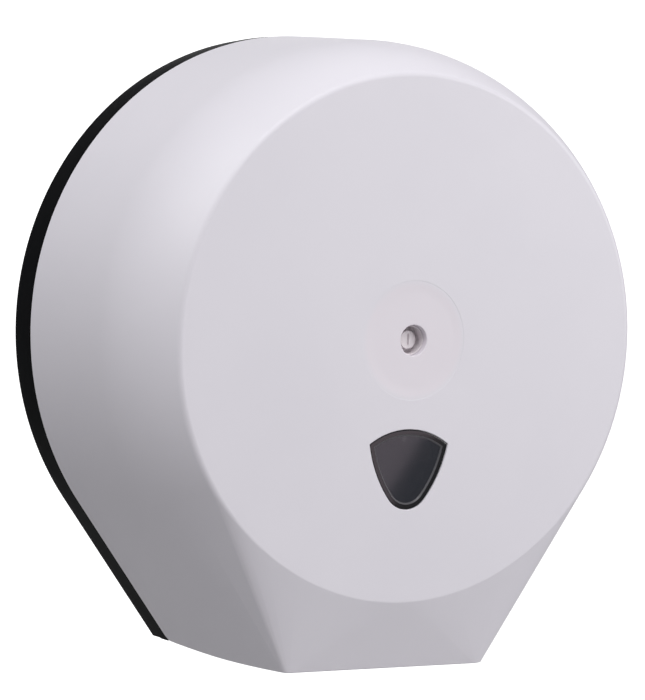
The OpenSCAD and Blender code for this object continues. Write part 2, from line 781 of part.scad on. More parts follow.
module window_lens() {
    color(smoke, 0.75) difference() {
        union() {
            slab(inner_d - lens_flange_t / 2, body_d - lens_sink) shield(0);
            slab(flange_rear_d, inner_d) shield(lens_flange_w);
        }
        post_places() rod(post_r + lens_gap, flange_rear_d - past, inner_d + past);
    }
}

// The push-on clips that hold the lens's flange on its posts
module window_clips() {
    color(steel) post_places() difference() {
        rod(clip_dia / 2, flange_rear_d - push_clip_t, flange_rear_d);
        rod(post_r + screw_gap, flange_rear_d - push_clip_t - past, flange_rear_d + past);
    }
}

module lock_barrel() {
    color("#cfc8cc") difference() {
        union() {
            rod(barrel_r, boss_d - past, ring_face_d);
            rod(barrel_flange_dia / 2, boss_d - barrel_flange_t, boss_d);
            rod(barrel_dia / 2, barrel_end_d, boss_d - past);
        }
        rod(mouth_r, mouth_d, ring_face_d + past);
        rod(plug_r + plug_gap, barrel_end_d - past, mouth_d + past);
        for (s = [-1, 1])
            rod(small_screw_r + screw_gap, boss_d - barrel_flange_t - past, boss_d + past,
                s * barrel_screw_x);
    }
}

// Turns a screw round, so that its head seats on the side of the wall
module from_behind(seat) {
    translate([0, -2 * seat, 0]) mirror([0, 1, 0]) children();
}

module lock_screws() {
    seat = boss_d - barrel_flange_t;
    color(steel) from_behind(seat) for (s = [-1, 1])
        small_screw(seat, barrel_flange_t + lock_boss_h - screw_end_gap, s * barrel_screw_x, 0);
}

module lock_plug() {
    color("#e3dde0") difference() {
        union() {
            rod(plug_head_dia / 2, plug_seat_d, plug_face_d);
            rod(plug_r, clip_rear_d - collar_t, plug_seat_d + plug_head_t / 2);
            rod(tail_r, cam_front_d, clip_rear_d);
            translate([-square_w / 2, -cam_front_d - past, -square_w / 2])
                cube([square_w, cam_t - cam_proud + past, square_w]);
        }
        ring(plug_r + past, groove_r, clip_rear_d, clip_front_d);
        translate([-key_slot_w / 2, -plug_face_d - past, -key_slot_l / 2])
            cube([key_slot_w, past + key_slot_h, key_slot_l]);
        rod(small_screw_r + screw_gap, cam_rear_d - past, cam_rear_d + cam_screw_l + screw_end_gap);
    }
}

// The open clip that keeps the plug in its barrel
module plug_clip() {
    color(steel) difference() {
        ring(plug_clip_dia / 2, groove_r + screw_gap, clip_rear_d, clip_front_d);
        translate([-clip_mouth_w / 2, -clip_front_d - past, -plug_clip_dia / 2])
            cube([clip_mouth_w, clip_t + 2 * past, plug_clip_dia / 2]);
    }
}

module lock_cam() {
    hole = square_w / 2 + screw_gap;
    color(steel) difference() {
        intersection() {
            rod(cam_l / 2, cam_rear_d, cam_front_d);
            translate([-cam_w / 2, -cam_front_d - past, -cam_l])
                cube([cam_w, cam_t + 2 * past, 2 * cam_l]);
        }
        translate([-hole, -cam_front_d - past, -hole]) cube([2 * hole, cam_t + 2 * past, 2 * hole]);
    }
}

module cam_screw() {
    color(steel) from_behind(cam_rear_d) small_screw(cam_rear_d, cam_screw_l, 0, 0);
}

back_plate();
spindle();
spindle_screws();
hub_washer();
core_hub();
strike_plate();
strike_screws();
tear_bar_left();
tear_bar_right();
tear_bar_screws();
hinge_pin_left();
hinge_pin_right();
front_cover();
window_lens();
window_clips();
lock_barrel();
lock_screws();
lock_plug();
plug_clip();
lock_cam();
cam_screw();
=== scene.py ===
"""A jumbo toilet roll dispenser: a smooth white drum cover over a black wall base."""
import logging
import math
from contextlib import contextmanager
from dataclasses import dataclass
from enum import Enum
from typing import Any, Iterator, Optional, Sequence, Union

import bmesh
import bpy
from mathutils import Matrix, Vector


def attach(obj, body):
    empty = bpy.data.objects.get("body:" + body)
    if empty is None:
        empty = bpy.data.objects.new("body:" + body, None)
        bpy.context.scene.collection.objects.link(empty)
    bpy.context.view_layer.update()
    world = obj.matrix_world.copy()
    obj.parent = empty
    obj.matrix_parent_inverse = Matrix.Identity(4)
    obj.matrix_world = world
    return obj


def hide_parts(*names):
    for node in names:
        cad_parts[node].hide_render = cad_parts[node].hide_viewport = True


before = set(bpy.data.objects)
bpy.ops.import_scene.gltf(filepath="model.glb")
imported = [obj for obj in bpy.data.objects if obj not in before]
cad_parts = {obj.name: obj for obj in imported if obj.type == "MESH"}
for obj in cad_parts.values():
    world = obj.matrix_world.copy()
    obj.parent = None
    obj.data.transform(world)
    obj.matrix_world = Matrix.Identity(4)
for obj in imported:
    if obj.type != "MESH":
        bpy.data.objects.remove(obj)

LOG = logging.getLogger("dispenser")
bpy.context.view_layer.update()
# One millimetre in the frame's metres
MM = 0.001
# How far a cutting shape runs past the surface it cuts, in millimetres
PAST = 1.0
# The chamfer along the upper edges of the base's ribs and pads, in millimetres
CHAMFER = 0.5
SIDES = (-1, 1)

Pair = tuple[float, float]
Colour = tuple[float, float, float, float]


class Body(Enum):
    """The bodies of the frame that the pieces ride on."""

    BASE = "base"
    HUB = "hub"
    COVER = "cover"
    LOCK = "lock"


class Axis(Enum):
    """The direction that a solid is turned about or drawn along."""

    DEPTH = "depth"
    ACROSS = "across"

    def spot(self, along: float, u: float, v: float) -> Vector:
        """The place at a distance along the axis, and at two distances beside it."""
        return at(u, along, v) if self is Axis.DEPTH else at(along, u, v)


class Facing(Enum):
    """The side that a screw's head looks to."""

    FRONT = 1
    WALL = -1


# ---------------------------------------------------------------- plane curves


def arc(centre: Pair, radius: float, start: float, end: float, steps: int) -> list[Pair]:
    """Points along an arc.

    Args:
        centre: The arc's centre.
        radius: Its radius.
        start: The angle it starts at, in degrees.
        end: The angle it ends at, in degrees.
        steps: The number of chords.

    Returns:
        The points in order, both ends among them.
    """
    angles = [math.radians(start + (end - start) * i / steps) for i in range(steps + 1)]
    return [(centre[0] + radius * math.cos(a), centre[1] + radius * math.sin(a)) for a in angles]


def bearing(centre: Vector, place: Vector) -> float:
    """The angle in degrees at which a place is seen from a centre."""
    return math.degrees(math.atan2(place.y - centre.y, place.x - centre.x))


def crossing(first: Vector, first_r: float, second: Vector, second_r: float) -> Vector:
    """Where two circles cross.

    Args:
        first: The first circle's centre.
        first_r: Its radius.
        second: The second circle's centre.
        second_r: Its radius.

    Returns:
        The crossing to the right of the way from the first centre to the second.
    """
    way = second - first
    along = (first_r**2 - second_r**2 + way.length_squared) / (2 * way.length)
    across = math.sqrt(first_r**2 - along**2)
    u = way.normalized()
    return first + along * u + across * Vector((u.y, -u.x))


def softened(points: Sequence[Pair], radius: float, closed: bool = True, steps: int = 3) -> list[Pair]:
    """Rounds the corners of an outline.

    Args:
        points: The outline's corners in order.
        radius: How far from each corner the rounding starts.
        closed: Whether the last point joins the first.
        steps: The number of chords at each corner.

    Returns:
        The rounded outline. Corners that turn by less than 12 degrees stay as they are.
    """
    straight = math.cos(math.radians(12))
    # The most of an edge that one rounding takes up
    most = 0.45
    corners = [Vector(p) for p in points]
    out: list[Pair] = []
    for i, here in enumerate(corners):
        if not closed and i in (0, len(corners) - 1):
            out.append(tuple(here))
            continue
        before, after = corners[i - 1] - here, corners[(i + 1) % len(corners)] - here
        if before.length == 0 or after.length == 0 or -before.normalized().dot(after.normalized()) > straight:
            out.append(tuple(here))
            continue
        start = here + before.normalized() * min(radius, most * before.length)
        end = here + after.normalized() * min(radius, most * after.length)
        for k in range(steps + 1):
            t = k / steps
            out.append(tuple((1 - t) ** 2 * start + 2 * t * (1 - t) * here + t**2 * end))
    return out


# ---------------------------------------------------------------- shader maths


class Signal:
    """A shader socket that takes part in arithmetic."""

    def __init__(self, graph: "Graph", socket: bpy.types.NodeSocket) -> None:
        """Wraps a socket of a graph."""
        self.graph = graph
        self.socket = socket

    def __add__(self, other: "Value") -> "Signal":
        """This value plus another."""
        return self.graph.math("ADD", self, other)

    def __sub__(self, other: "Value") -> "Signal":
        """This value less another."""
        return self.graph.math("SUBTRACT", self, other)

    def __mul__(self, other: "Value") -> "Signal":
        """This value times another."""
        return self.graph.math("MULTIPLY", self, other)


Value = Union[Signal, float, int, Sequence[float]]


class Graph:
    """The node tree of one material, written as expressions."""

    def __init__(self, name: str) -> None:
        """Starts an empty material."""
        self.material = bpy.data.materials.new(name)
        self.material.use_nodes = True
        self.tree = self.material.node_tree
        self.tree.nodes.clear()

    def node(
        self,
        kind: str,
        settings: Optional[dict[str, Any]] = None,
        inputs: Optional[dict[Union[str, int], Value]] = None,
        output: Union[str, int] = 0,
    ) -> Signal:
        """Adds a node.

        Args:
            kind: The node's type.
            settings: Its properties, which are set first; stops are a ramp's positions and colours.
            inputs: The values or links of its sockets, by name or number.
            output: The output that is returned.

        Returns:
            The chosen output.
        """
        node = self.tree.nodes.new(kind)
        for key, value in (settings or {}).items():
            if key == "stops":
                for element, (position, colour) in zip(node.color_ramp.elements, value):
                    element.position, element.color = position, colour
            else:
                setattr(node, key, value)
        for key, value in (inputs or {}).items():
            if isinstance(value, Signal):
                self.tree.links.new(value.socket, node.inputs[key])
            else:
                node.inputs[key].default_value = value
        return Signal(self, node.outputs[output])

    def math(self, operation: str, *values: Value) -> Signal:
        """One Math node on the values."""
        return self.node("ShaderNodeMath", {"operation": operation}, dict(enumerate(values)))

    def places(self) -> Signal:
        """Object coordinates."""
        return self.node("ShaderNodeTexCoord", output="Object")

    def off_axis(self) -> Signal:
        """Distance from the roll axis."""
        flat = self.node("ShaderNodeVectorMath", {"operation": "MULTIPLY"}, {0: self.places(), 1: (1, 0, 1)})
        return self.node("ShaderNodeVectorMath", {"operation": "LENGTH"}, {0: flat}, "Value")

    def noise(self, size: float, stretch: Sequence[float] = (1, 1, 1), detail: float = 2.0) -> Signal:
        """Noise on object coordinates.

        Args:
            size: The size of its features in millimetres.
            stretch: How many times finer it is along each axis.
            detail: The number of finer layers.

        Returns:
            Its value, from 0 to 1.
        """
        scale = [s / (size * MM) for s in stretch]
        place = self.node("ShaderNodeMapping", inputs={"Vector": self.places(), "Scale": scale})
        return self.node("ShaderNodeTexNoise", inputs={"Vector": place, "Scale": 1.0, "Detail": detail})

    def mix(self, factor: Value, first: Value, second: Value) -> Signal:
        """A colour between two others."""
        return self.node("ShaderNodeMix", {"data_type": "RGBA"}, {0: factor, 6: first, 7: second}, 2)

    def band(self, value: Signal, low: float, high: float) -> Signal:
        """The value spread so that low becomes 0 and high becomes 1, and held between them."""
        limits = {1: low, 2: high, 3: 0.0, 4: 1.0}
        return self.node("ShaderNodeMapRange", {"clamp": True}, {0: value, **limits})

    def bump(self, height: Signal, depth: float, strength: float = 1.0) -> Signal:
        """A bump whose full height is a depth in millimetres."""
        return self.node(
            "ShaderNodeBump", inputs={"Height": height, "Distance": depth * MM, "Strength": strength}
        )

    def surface(self, **sockets: Value) -> bpy.types.Material:
        """Ends the material in a Principled surface.

        Args:
            sockets: The surface's sockets, with underscores for the spaces in their names.

        Returns:
            The finished material.
        """
        named = {key.replace("_", " "): value for key, value in sockets.items()}
        shader = self.node("ShaderNodeBsdfPrincipled", inputs=named)
        end = self.tree.nodes.new("ShaderNodeOutputMaterial")
        self.tree.links.new(shader.socket, end.inputs["Surface"])
        return self.material


@dataclass(frozen=True)
class MouldedPlastic:
    """A moulded plastic with a fine eroded grain and the slow clouding of its flow in the mould."""

    name: str
    slot: str
    colour: Colour
    clouded: Colour
    roughness: float
    grain_size: float = 0.45
    grain_depth: float = 0.012
    grain_spread: float = 0.12
    flow_size: float = 70.0
    handled_size: float = 11.0
    handled_spread: float = 0.08
    specular: float = 0.5
    blush: Optional[Colour] = None
    blush_r: float = 31.0
    blush_edge: float = 3.0
    blush_share: float = 0.6

    def build(self) -> bpy.types.Material:
        """Makes the material."""
        graph = Graph(self.name)
        grain = graph.noise(self.grain_size, detail=3.0)
        flow = graph.noise(self.flow_size)
        handled = graph.noise(self.handled_size, detail=4.0)
        rough = (grain - 0.5) * self.grain_spread + (handled - 0.5) * self.handled_spread + self.roughness
        colour = graph.mix(graph.band(flow, 0.35, 0.65), self.colour, self.clouded)
        if self.blush:
            inside = graph.band(graph.off_axis(), self.blush_r * MM, (self.blush_r - self.blush_edge) * MM)
            colour = graph.mix(inside * self.blush_share, colour, self.blush)
        return graph.surface(
            Base_Color=colour,
            Roughness=rough,
            Normal=graph.bump(grain, self.grain_depth, 0.6),
            Specular_IOR_Level=self.specular,
            IOR=1.53,
        )


@dataclass(frozen=True)
class SmokedPlastic:
    """A clear plastic stained dark, polished, with the faint haze of handling."""

    name: str = "smoked_window"
    slot: str = "smoke_lens"
    colour: Colour = (0.022, 0.026, 0.036, 1.0)
    # The colour that the haze mixes in: handling haze on the lens and border, and part of the painted
    # highlight on the bevel
    haze_and_highlight: Colour = (0.029, 0.030, 0.038, 1.0)
    roughness: float = 0.035
    haze_spread: float = 0.02
    scuff_spread: float = 0.04
    opacity: float = 0.88

    def build(self) -> bpy.types.Material:
        """Makes the material."""
        graph = Graph(self.name)
        haze = graph.noise(9.0, detail=4.0)
        scuffs = graph.band(graph.noise(1.2, (1, 1, 6), 3.0), 0.60, 0.75)
        return graph.surface(
            Base_Color=graph.mix(haze, self.colour, self.haze_and_highlight),
            Roughness=haze * self.haze_spread + scuffs * self.scuff_spread + self.roughness,
            Alpha=self.opacity,
            Specular_IOR_Level=0.55,
            IOR=1.49,
        )


@dataclass(frozen=True)
class PlatedSteel:
    """Zinc-plated steel with the fine lines of drawing or turning."""

    name: str
    slot: str
    colour: Colour
    dulled: Colour
    roughness: float
    lines: tuple[float, float, float] = (1.0, 1.0, 14.0)
    line_spread: float = 0.16
    cloud_spread: float = 0.06

    def build(self) -> bpy.types.Material:
        """Makes the material."""
        graph = Graph(self.name)
        drawn = graph.noise(0.9, self.lines, 3.0)
        cloud = graph.noise(5.0, detail=3.0)
        return graph.surface(
            Base_Color=graph.mix(graph.band(cloud, 0.4, 0.7), self.colour, self.dulled),
            Metallic=1.0,
            Roughness=(drawn - 0.5) * self.line_spread + cloud * self.cloud_spread + self.roughness,
            Normal=graph.bump(drawn, 0.004, 0.5),
        )


WHITE_SHELL = MouldedPlastic(
    "white_shell", "white_cover", (0.810, 0.786, 0.848, 1), (0.796, 0.773, 0.836, 1), 0.46,
    grain_depth=0.010, blush=(0.835, 0.775, 0.835, 1),
)
BLACK_BASE = MouldedPlastic(
    "black_base", "black_base", (0.0022, 0.0024, 0.0032, 1), (0.0036, 0.0038, 0.0048, 1), 0.44,
    specular=0.035,
)
GREY_PART = MouldedPlastic(
    "grey_part", "grey_plastic", (0.260, 0.268, 0.285, 1), (0.235, 0.243, 0.262, 1), 0.42
)
PALE_HUB = MouldedPlastic(
    "pale_hub", "hub_plastic", (0.600, 0.605, 0.625, 1), (0.560, 0.566, 0.590, 1), 0.38
)
LOCK_PLASTIC = MouldedPlastic(
    "lock_plastic", "lock_white", (0.860, 0.815, 0.840, 1), (0.830, 0.780, 0.808, 1), 0.32,
    grain_depth=0.004,
)
SMOKED_WINDOW = SmokedPlastic()
WINDOW_BORDER = SmokedPlastic(
    "window_border", colour=(0.0065, 0.0065, 0.0085, 1), haze_and_highlight=(0.010, 0.010, 0.012, 1),
    roughness=0.06, opacity=0.97,
)
# The bevel's lighter colour is a painted highlight: it stands in for the light line along the edge of the
# lens's sunk face
WINDOW_BEVEL_HIGHLIGHT = SmokedPlastic(
    "window_bevel_highlight", colour=(0.105, 0.102, 0.112, 1), haze_and_highlight=(0.080, 0.078, 0.088, 1),
    roughness=0.30, opacity=1.0,
)
BRIGHT_STEEL = PlatedSteel(
    "bright_steel", "bright_steel", (0.640, 0.650, 0.665, 1), (0.520, 0.525, 0.535, 1), 0.28
)
TURNED_STEEL = PlatedSteel(
    "turned_steel", "bright_steel", (0.600, 0.610, 0.625, 1), (0.470, 0.470, 0.480, 1), 0.24,
    lines=(1.0, 12.0, 1.0),
)

Finish = Union[MouldedPlastic, SmokedPlastic, PlatedSteel]
MATERIALS: dict[str, bpy.types.Material] = {}


def dressed(finish: Finish) -> bpy.types.Material:
    """The finish's material, made once."""
    if finish.name not in MATERIALS:
        MATERIALS[finish.name] = finish.build()
    return MATERIALS[finish.name]


# ---------------------------------------------------------------- solids


def at(x: float, depth: float, height: float) -> Vector:
    """A place in the frame from its x, depth and height in millimetres."""
    return Vector((x * MM, -depth * MM, height * MM))


def both(x: float) -> list[Pair]:
    """The places left and right of the roll axis, at its height."""
    return [(side * x, 0.0) for side in SIDES]


def added(name: str, data: bpy.types.ID) -> bpy.types.Object:
    """A new object in the scene."""
    obj = bpy.data.objects.new(name, data)
    bpy.context.scene.collection.objects.link(obj)
    return obj


@contextmanager
def edited(mesh: bpy.types.Mesh) -> Iterator[bmesh.types.BMesh]:
    """A mesh's editable form, which is written back at the end."""
    work = bmesh.new()
    work.from_mesh(mesh)
    yield work
    work.to_mesh(mesh)
    work.free()


class Solid:
    """A closed mesh in the making, which others are joined to or cut from."""

    def __init__(
        self, vertices: Sequence[Vector], faces: Sequence[Sequence[int]], name: str = "solid"
    ) -> None:
        """Makes the mesh.

        Args:
            vertices: Its points in metres.
            faces: Its faces, as numbers of points.
            name: A name for the object while it is made.
        """
        mesh = bpy.data.meshes.new(name)
        mesh.from_pydata([tuple(v) for v in vertices], [], faces)
        self.obj = added(name, mesh)
        if faces:
            self._turn_outwards()

    @classmethod
    def of_mesh(cls, mesh: bpy.types.Mesh) -> "Solid":
        """A solid that takes over a finished mesh."""
        solid = cls([], [])
        solid.obj.data = mesh
        return solid

    @classmethod
    def lofted(cls, rings: Sequence[Sequence[Vector]], looped: bool = False) -> "Solid":
        """A solid through rings of points.

        Args:
            rings: Rings of equally many points; a ring of one point is a pole.
            looped: Whether the last ring joins the first, where otherwise the ends are closed.

        Returns:
            The solid.
        """
        starts, vertices = [], []
        for ring in rings:
            starts.append(len(vertices))
            vertices.extend(ring)
        faces: list[list[int]] = []
        pairs = list(zip(range(len(rings)), range(1, len(rings))))
        if looped:
            pairs.append((len(rings) - 1, 0))
        for i, j in pairs:
            a, b = starts[i], starts[j]
            count_a, count_b = len(rings[i]), len(rings[j])
            for k in range(max(count_a, count_b)):
                quad = [a + k % count_a, a + (k + 1) % count_a, b + (k + 1) % count_b, b + k % count_b]
                faces.append(list(dict.fromkeys(quad)))
        if not looped:
            for ring, start in ((rings[0], starts[0]), (rings[-1], starts[-1])):
                if len(ring) > 2:
                    faces.append(list(range(start, start + len(ring))))
        return cls(vertices, faces)

    @classmethod
    def turned(
        cls, profile: Sequence[Pair], middle: Pair = (0.0, 0.0), axis: Axis = Axis.DEPTH, steps: int = 96
    ) -> "Solid":
        """A solid of revolution.

        Args:
            profile: Radius and distance along the axis; it starts and ends at radius 0, or it is a loop.
            middle: Where the axis stands: x and height, or depth and height for an axis across.
            axis: The direction of the axis.
            steps: The number of chords round it.

        Returns:
            The solid.
        """
        rings = []
        for radius, along in profile:
            count = steps if radius > 0 else 1
            ring = []
            for k in range(count):
                turn = 2 * math.pi * k / steps
                u = middle[0] + radius * math.cos(turn)
                v = middle[1] + radius * math.sin(turn)
                ring.append(axis.spot(along, u, v))
            rings.append(ring)
        return cls.lofted(rings, looped=profile[0][0] > 0)

    @classmethod
    def rod(
        cls, radius: float, start: float, end: float, middle: Pair = (0.0, 0.0), axis: Axis = Axis.DEPTH,
        steps: int = 48,
    ) -> "Solid":
        """A plain round bar, mostly to cut a bore with."""
        return cls.turned([(0, start), (radius, start), (radius, end), (0, end)], middle, axis, steps)

    @classmethod
    def rods(
        cls, radius: float, start: float, end: float, places: Sequence[Pair], steps: int = 48
    ) -> list["Solid"]:
        """Equal round bars at several places."""
        return [cls.rod(radius, start, end, place, steps=steps) for place in places]

    @classmethod
    def pad(
        cls, radius: float, start: float, top: float, middle: Pair = (0.0, 0.0), steps: int = 120
    ) -> "Solid":
        """A round pad with a chamfered upper edge."""
        edge = [(radius, start), (radius, top - CHAMFER), (radius - CHAMFER, top)]
        return cls.turned([(0, start), *edge, (0, top)], middle, steps=steps)

    @classmethod
    def prism(cls, outline: Sequence[Pair], start: float, end: float, axis: Axis = Axis.DEPTH) -> "Solid":
        """A solid with one outline along its length.

        Args:
            outline: x and height, or depth and height for a prism across.
            start: Where it starts along the axis.
            end: Where it ends.
            axis: The direction it is drawn in.

        Returns:
            The solid.
        """
        return cls.lofted([[axis.spot(along, u, v) for u, v in outline] for along in (start, end)])

    @classmethod
    def block(cls, x: Pair, depth: Pair, height: Pair) -> "Solid":
        """A box between three pairs of limits."""
        corners = [(x[0], height[0]), (x[1], height[0]), (x[1], height[1]), (x[0], height[1])]
        return cls.prism(corners, *depth)

    def join(self, *others: "Solid") -> "Solid":
        """Joins the others to this solid."""
        for other in others:
            self._combine(other, "UNION")
        return self

    def cut(self, *others: "Solid") -> "Solid":
        """Cuts the others out of this solid."""
        for other in others:
            self._combine(other, "DIFFERENCE")
        return self

    def keep_inside(self, other: "Solid") -> "Solid":
        """Keeps what lies inside another solid."""
        self._combine(other, "INTERSECT")
        return self

    def trimmed(self, point: Vector, outwards: Vector) -> "Solid":
        """Takes off what lies beyond a plane, and closes the cut."""
        with edited(self.obj.data) as work:
            geometry = work.verts[:] + work.edges[:] + work.faces[:]
            cut = bmesh.ops.bisect_plane(
                work, geom=geometry, plane_co=point, plane_no=outwards, clear_outer=True
            )
            edges = [e for e in cut["geom_cut"] if isinstance(e, bmesh.types.BMEdge)]
            bmesh.ops.contextual_create(work, geom=edges)
            bmesh.ops.recalc_face_normals(work, faces=work.faces[:])
        return self

    def eased(self, width: float, segments: int = 2, angle: float = 35.0) -> "Solid":
        """Rounds the edges that are sharper than an angle.

        Args:
            width: The rounding's width in millimetres.
            segments: The number of faces across it.
            angle: The angle in degrees from which an edge is rounded.

        Returns:
            This solid.
        """
        bevel = self.obj.modifiers.new("eased", "BEVEL")
        bevel.width = width * MM
        bevel.segments = segments
        bevel.limit_method = "ANGLE"
        bevel.angle_limit = math.radians(angle)
        bevel.use_clamp_overlap = True
        self._bake()
        return self

    def named(
        self, name: str, finish: Finish, body: Body, node: str, smooth: float = 32.0
    ) -> bpy.types.Object:
        """Finishes the solid as a piece of the object.

        Args:
            name: The piece's name.
            finish: What it is made of.
            body: The body it rides on.
            node: The node it stands for.
            smooth: The angle in degrees up to which its faces are shaded as one.

        Returns:
            The piece.
        """
        self.obj.data.shade_smooth()
        self.obj.data.set_sharp_from_angle(angle=math.radians(smooth))
        flat = self.obj.modifiers.new("flat", "WEIGHTED_NORMAL")
        flat.mode, flat.weight, flat.keep_sharp = "FACE_AREA", 100, True
        self._bake()
        mesh = self.obj.data
        mesh.materials.clear()
        mesh.materials.append(dressed(finish))
        self.obj.name = mesh.name = name
        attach(self.obj, body.value)
        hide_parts(node)
        LOG.info("%s: %d faces", name, len(mesh.polygons))
        return self.obj

    def discard(self) -> None:
        """Removes the solid from the scene."""
        mesh = self.obj.data
        bpy.data.objects.remove(self.obj)
        bpy.data.meshes.remove(mesh)

    def _combine(self, other: "Solid", operation: str) -> None:
        """Runs one boolean operation with another solid, which is used up."""
        boolean = self.obj.modifiers.new("combine", "BOOLEAN")
        boolean.operation = operation
        boolean.solver = "MANIFOLD"
        boolean.object = other.obj
        self._bake()
        other.discard()

    def _bake(self) -> None:
        """Turns the modifiers' result into this solid's plain mesh."""
        graph = bpy.context.evaluated_depsgraph_get()
        mesh = bpy.data.meshes.new_from_object(self.obj.evaluated_get(graph), depsgraph=graph)
        old = self.obj.data
        self.obj.modifiers.clear()
        self.obj.data = mesh
        bpy.data.meshes.remove(old)

    def _turn_outwards(self) -> None:
        """Makes the faces point out of the solid."""
        with edited(self.obj.data) as work:
            bmesh.ops.remove_doubles(work, verts=work.verts[:], dist=1e-7)
            bmesh.ops.recalc_face_normals(work, faces=work.faces[:])


def refined(node: str, width: float) -> Solid:
    """A copy of a node's mesh, merged and with its edges rounded."""
    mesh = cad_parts[node].data.copy()
    with edited(mesh) as work:
        bmesh.ops.remove_doubles(work, verts=work.verts[:], dist=1e-6)
        bmesh.ops.dissolve_limit(
            work, angle_limit=math.radians(1), verts=work.verts[:], edges=work.edges[:]
        )
    return Solid.of_mesh(mesh).eased(width)


# ---------------------------------------------------------------- geometry nodes


class ShapeTree:
    """A geometry node tree with named inputs, which ends in plain faces of one material."""

    def __init__(self, name: str, inputs: dict[str, str]) -> None:
        """Starts the tree.

        Args:
            name: The tree's name.
            inputs: The names of its inputs, and the type of socket of each.
        """
        self.group = bpy.data.node_groups.new(name, "GeometryNodeTree")
        face = self.group.interface
        face.new_socket("Geometry", in_out="INPUT", socket_type="NodeSocketGeometry")
        face.new_socket("Geometry", in_out="OUTPUT", socket_type="NodeSocketGeometry")
        for label, kind in {**inputs, "Material": "NodeSocketMaterial"}.items():
            face.new_socket(label, in_out="INPUT", socket_type=kind)
        self.entry = self.group.nodes.new("NodeGroupInput")
        self.exit = self.group.nodes.new("NodeGroupOutput")

    def given(self, label: str) -> bpy.types.NodeSocket:
        """One of the tree's inputs."""
        return self.entry.outputs[label]

    def node(
        self,
        kind: str,
        inputs: Optional[dict[Union[str, int], Any]] = None,
        settings: Optional[dict[str, Any]] = None,
        output: Union[str, int] = 0,
    ) -> bpy.types.NodeSocket:
        """Adds a node.

        Args:
            kind: The node's type.
            inputs: The values or links of its sockets, by name or number; a list is linked in turn.
            settings: Its properties, which are set first.
            output: The output that is returned.

        Returns:
            The chosen output.
        """
        node = self.group.nodes.new(kind)
        for key, value in (settings or {}).items():
            setattr(node, key, value)
        for key, value in (inputs or {}).items():
            for one in value if isinstance(value, list) else [value]:
                if isinstance(one, bpy.types.NodeSocket):
                    self.group.links.new(one, node.inputs[key])
                else:
                    node.inputs[key].default_value = one
        return node.outputs[output]

    def end(self, geometry: bpy.types.NodeSocket) -> "ShapeTree":
        """Ends the tree in real faces with the material."""
        real = self.node("GeometryNodeRealizeInstances", {"Geometry": geometry})
        done = self.node("GeometryNodeSetMaterial", {"Geometry": real, "Material": self.given("Material")})
        self.group.links.new(done, self.exit.inputs["Geometry"])
        return self

    def repeated(
        self,
        points: bpy.types.NodeSocket,
        turn: Optional[bpy.types.NodeSocket] = None,
        part: Optional[bpy.types.NodeSocket] = None,
    ) -> bpy.types.NodeSocket:
        """Repeats a part at points.

        Args:
            points: The points.
            turn: The angle that each one is turned by about the line from front to back.
            part: What is repeated, where it isn't the tree's part.

        Returns:
            The instances.
        """
        if part is None:
            part = self.node("GeometryNodeObjectInfo", {"Object": self.given("Part")}, output="Geometry")
        inputs = {"Points": points, "Instance": part}
        if turn is not None:
            euler = self.node("ShaderNodeCombineXYZ", {"Y": turn})
            inputs["Rotation"] = self.node("FunctionNodeEulerToRotation", {"Euler": euler})
        return self.node("GeometryNodeInstanceOnPoints", inputs)

    def round_axis(
        self, count: bpy.types.NodeSocket, first: Any = 0.0, part: Optional[bpy.types.NodeSocket] = None
    ) -> bpy.types.NodeSocket:
        """Repeats a part evenly round the roll axis.

        Args:
            count: How many there are.
            first: The first one's angle.
            part: What is repeated, where it isn't the tree's part.

        Returns:
            The instances.
        """
        step = self.node("ShaderNodeMath", {0: 2 * math.pi, 1: count}, {"operation": "DIVIDE"})
        index = self.node("GeometryNodeInputIndex")
        turn = self.node("ShaderNodeMath", {0: index, 1: step, 2: first}, {"operation": "MULTIPLY_ADD"})
        return self.repeated(self.node("GeometryNodePoints", {"Count": count}), turn, part)

    def grown(
        self, seed: Solid, finish: Finish, values: dict[str, Any], part: Optional[Solid] = None
    ) -> Solid:
        """Runs the tree.

        Args:
            seed: The geometry that goes into the tree, which is used up.
            finish: The material.
            values: The inputs' values by name.
            part: The part that the tree repeats, which is used up.

        Returns:
            The result as a solid of its own.
        """
        given = {**values, "Material": dressed(finish)}
        if part:
            given["Part"] = part.obj
        modifier = seed.obj.modifiers.new("shape", "NODES")
        modifier.node_group = self.group
        for item in self.group.interface.items_tree:
            if item.in_out == "INPUT" and item.name in given:
                modifier[item.identifier] = given[item.name]
        seed.obj.update_tag()
        seed._bake()
        if part:
            part.discard()
        return seed


def drum_tree() -> ShapeTree:
    """The hull of a profile turned about the roll axis and of the points of a foot."""
    tree = ShapeTree("drum", {"Turns": "NodeSocketInt"})
    is_foot = tree.node("GeometryNodeInputNamedAttribute", {"Name": "foot"}, {"data_type": "FLOAT"})
    parts = tree.group.nodes.new("GeometryNodeSeparateGeometry")
    tree.group.links.new(tree.given("Geometry"), parts.inputs["Geometry"])
    tree.group.links.new(is_foot, parts.inputs["Selection"])
    turned = tree.round_axis(tree.given("Turns"), part=parts.outputs["Inverted"])
    real = tree.node("GeometryNodeRealizeInstances", {"Geometry": turned})
    both_parts = tree.node("GeometryNodeJoinGeometry", {0: [real, parts.outputs["Selection"]]})
    return tree.end(tree.node("GeometryNodeConvexHull", {"Geometry": both_parts}))


def placed_tree() -> ShapeTree:
    """A part at each point of the seed, turned by chance about its own axis."""
    inputs = {"Part": "NodeSocketObject", "Most Turn": "NodeSocketFloat", "Seed": "NodeSocketInt"}
    tree = ShapeTree("placed", inputs)
    limits = {2: 0.0, 3: tree.given("Most Turn"), "Seed": tree.given("Seed")}
    chance = tree.node("FunctionNodeRandomValue", limits, {"data_type": "FLOAT"}, output=1)
    return tree.end(tree.repeated(tree.given("Geometry"), chance))


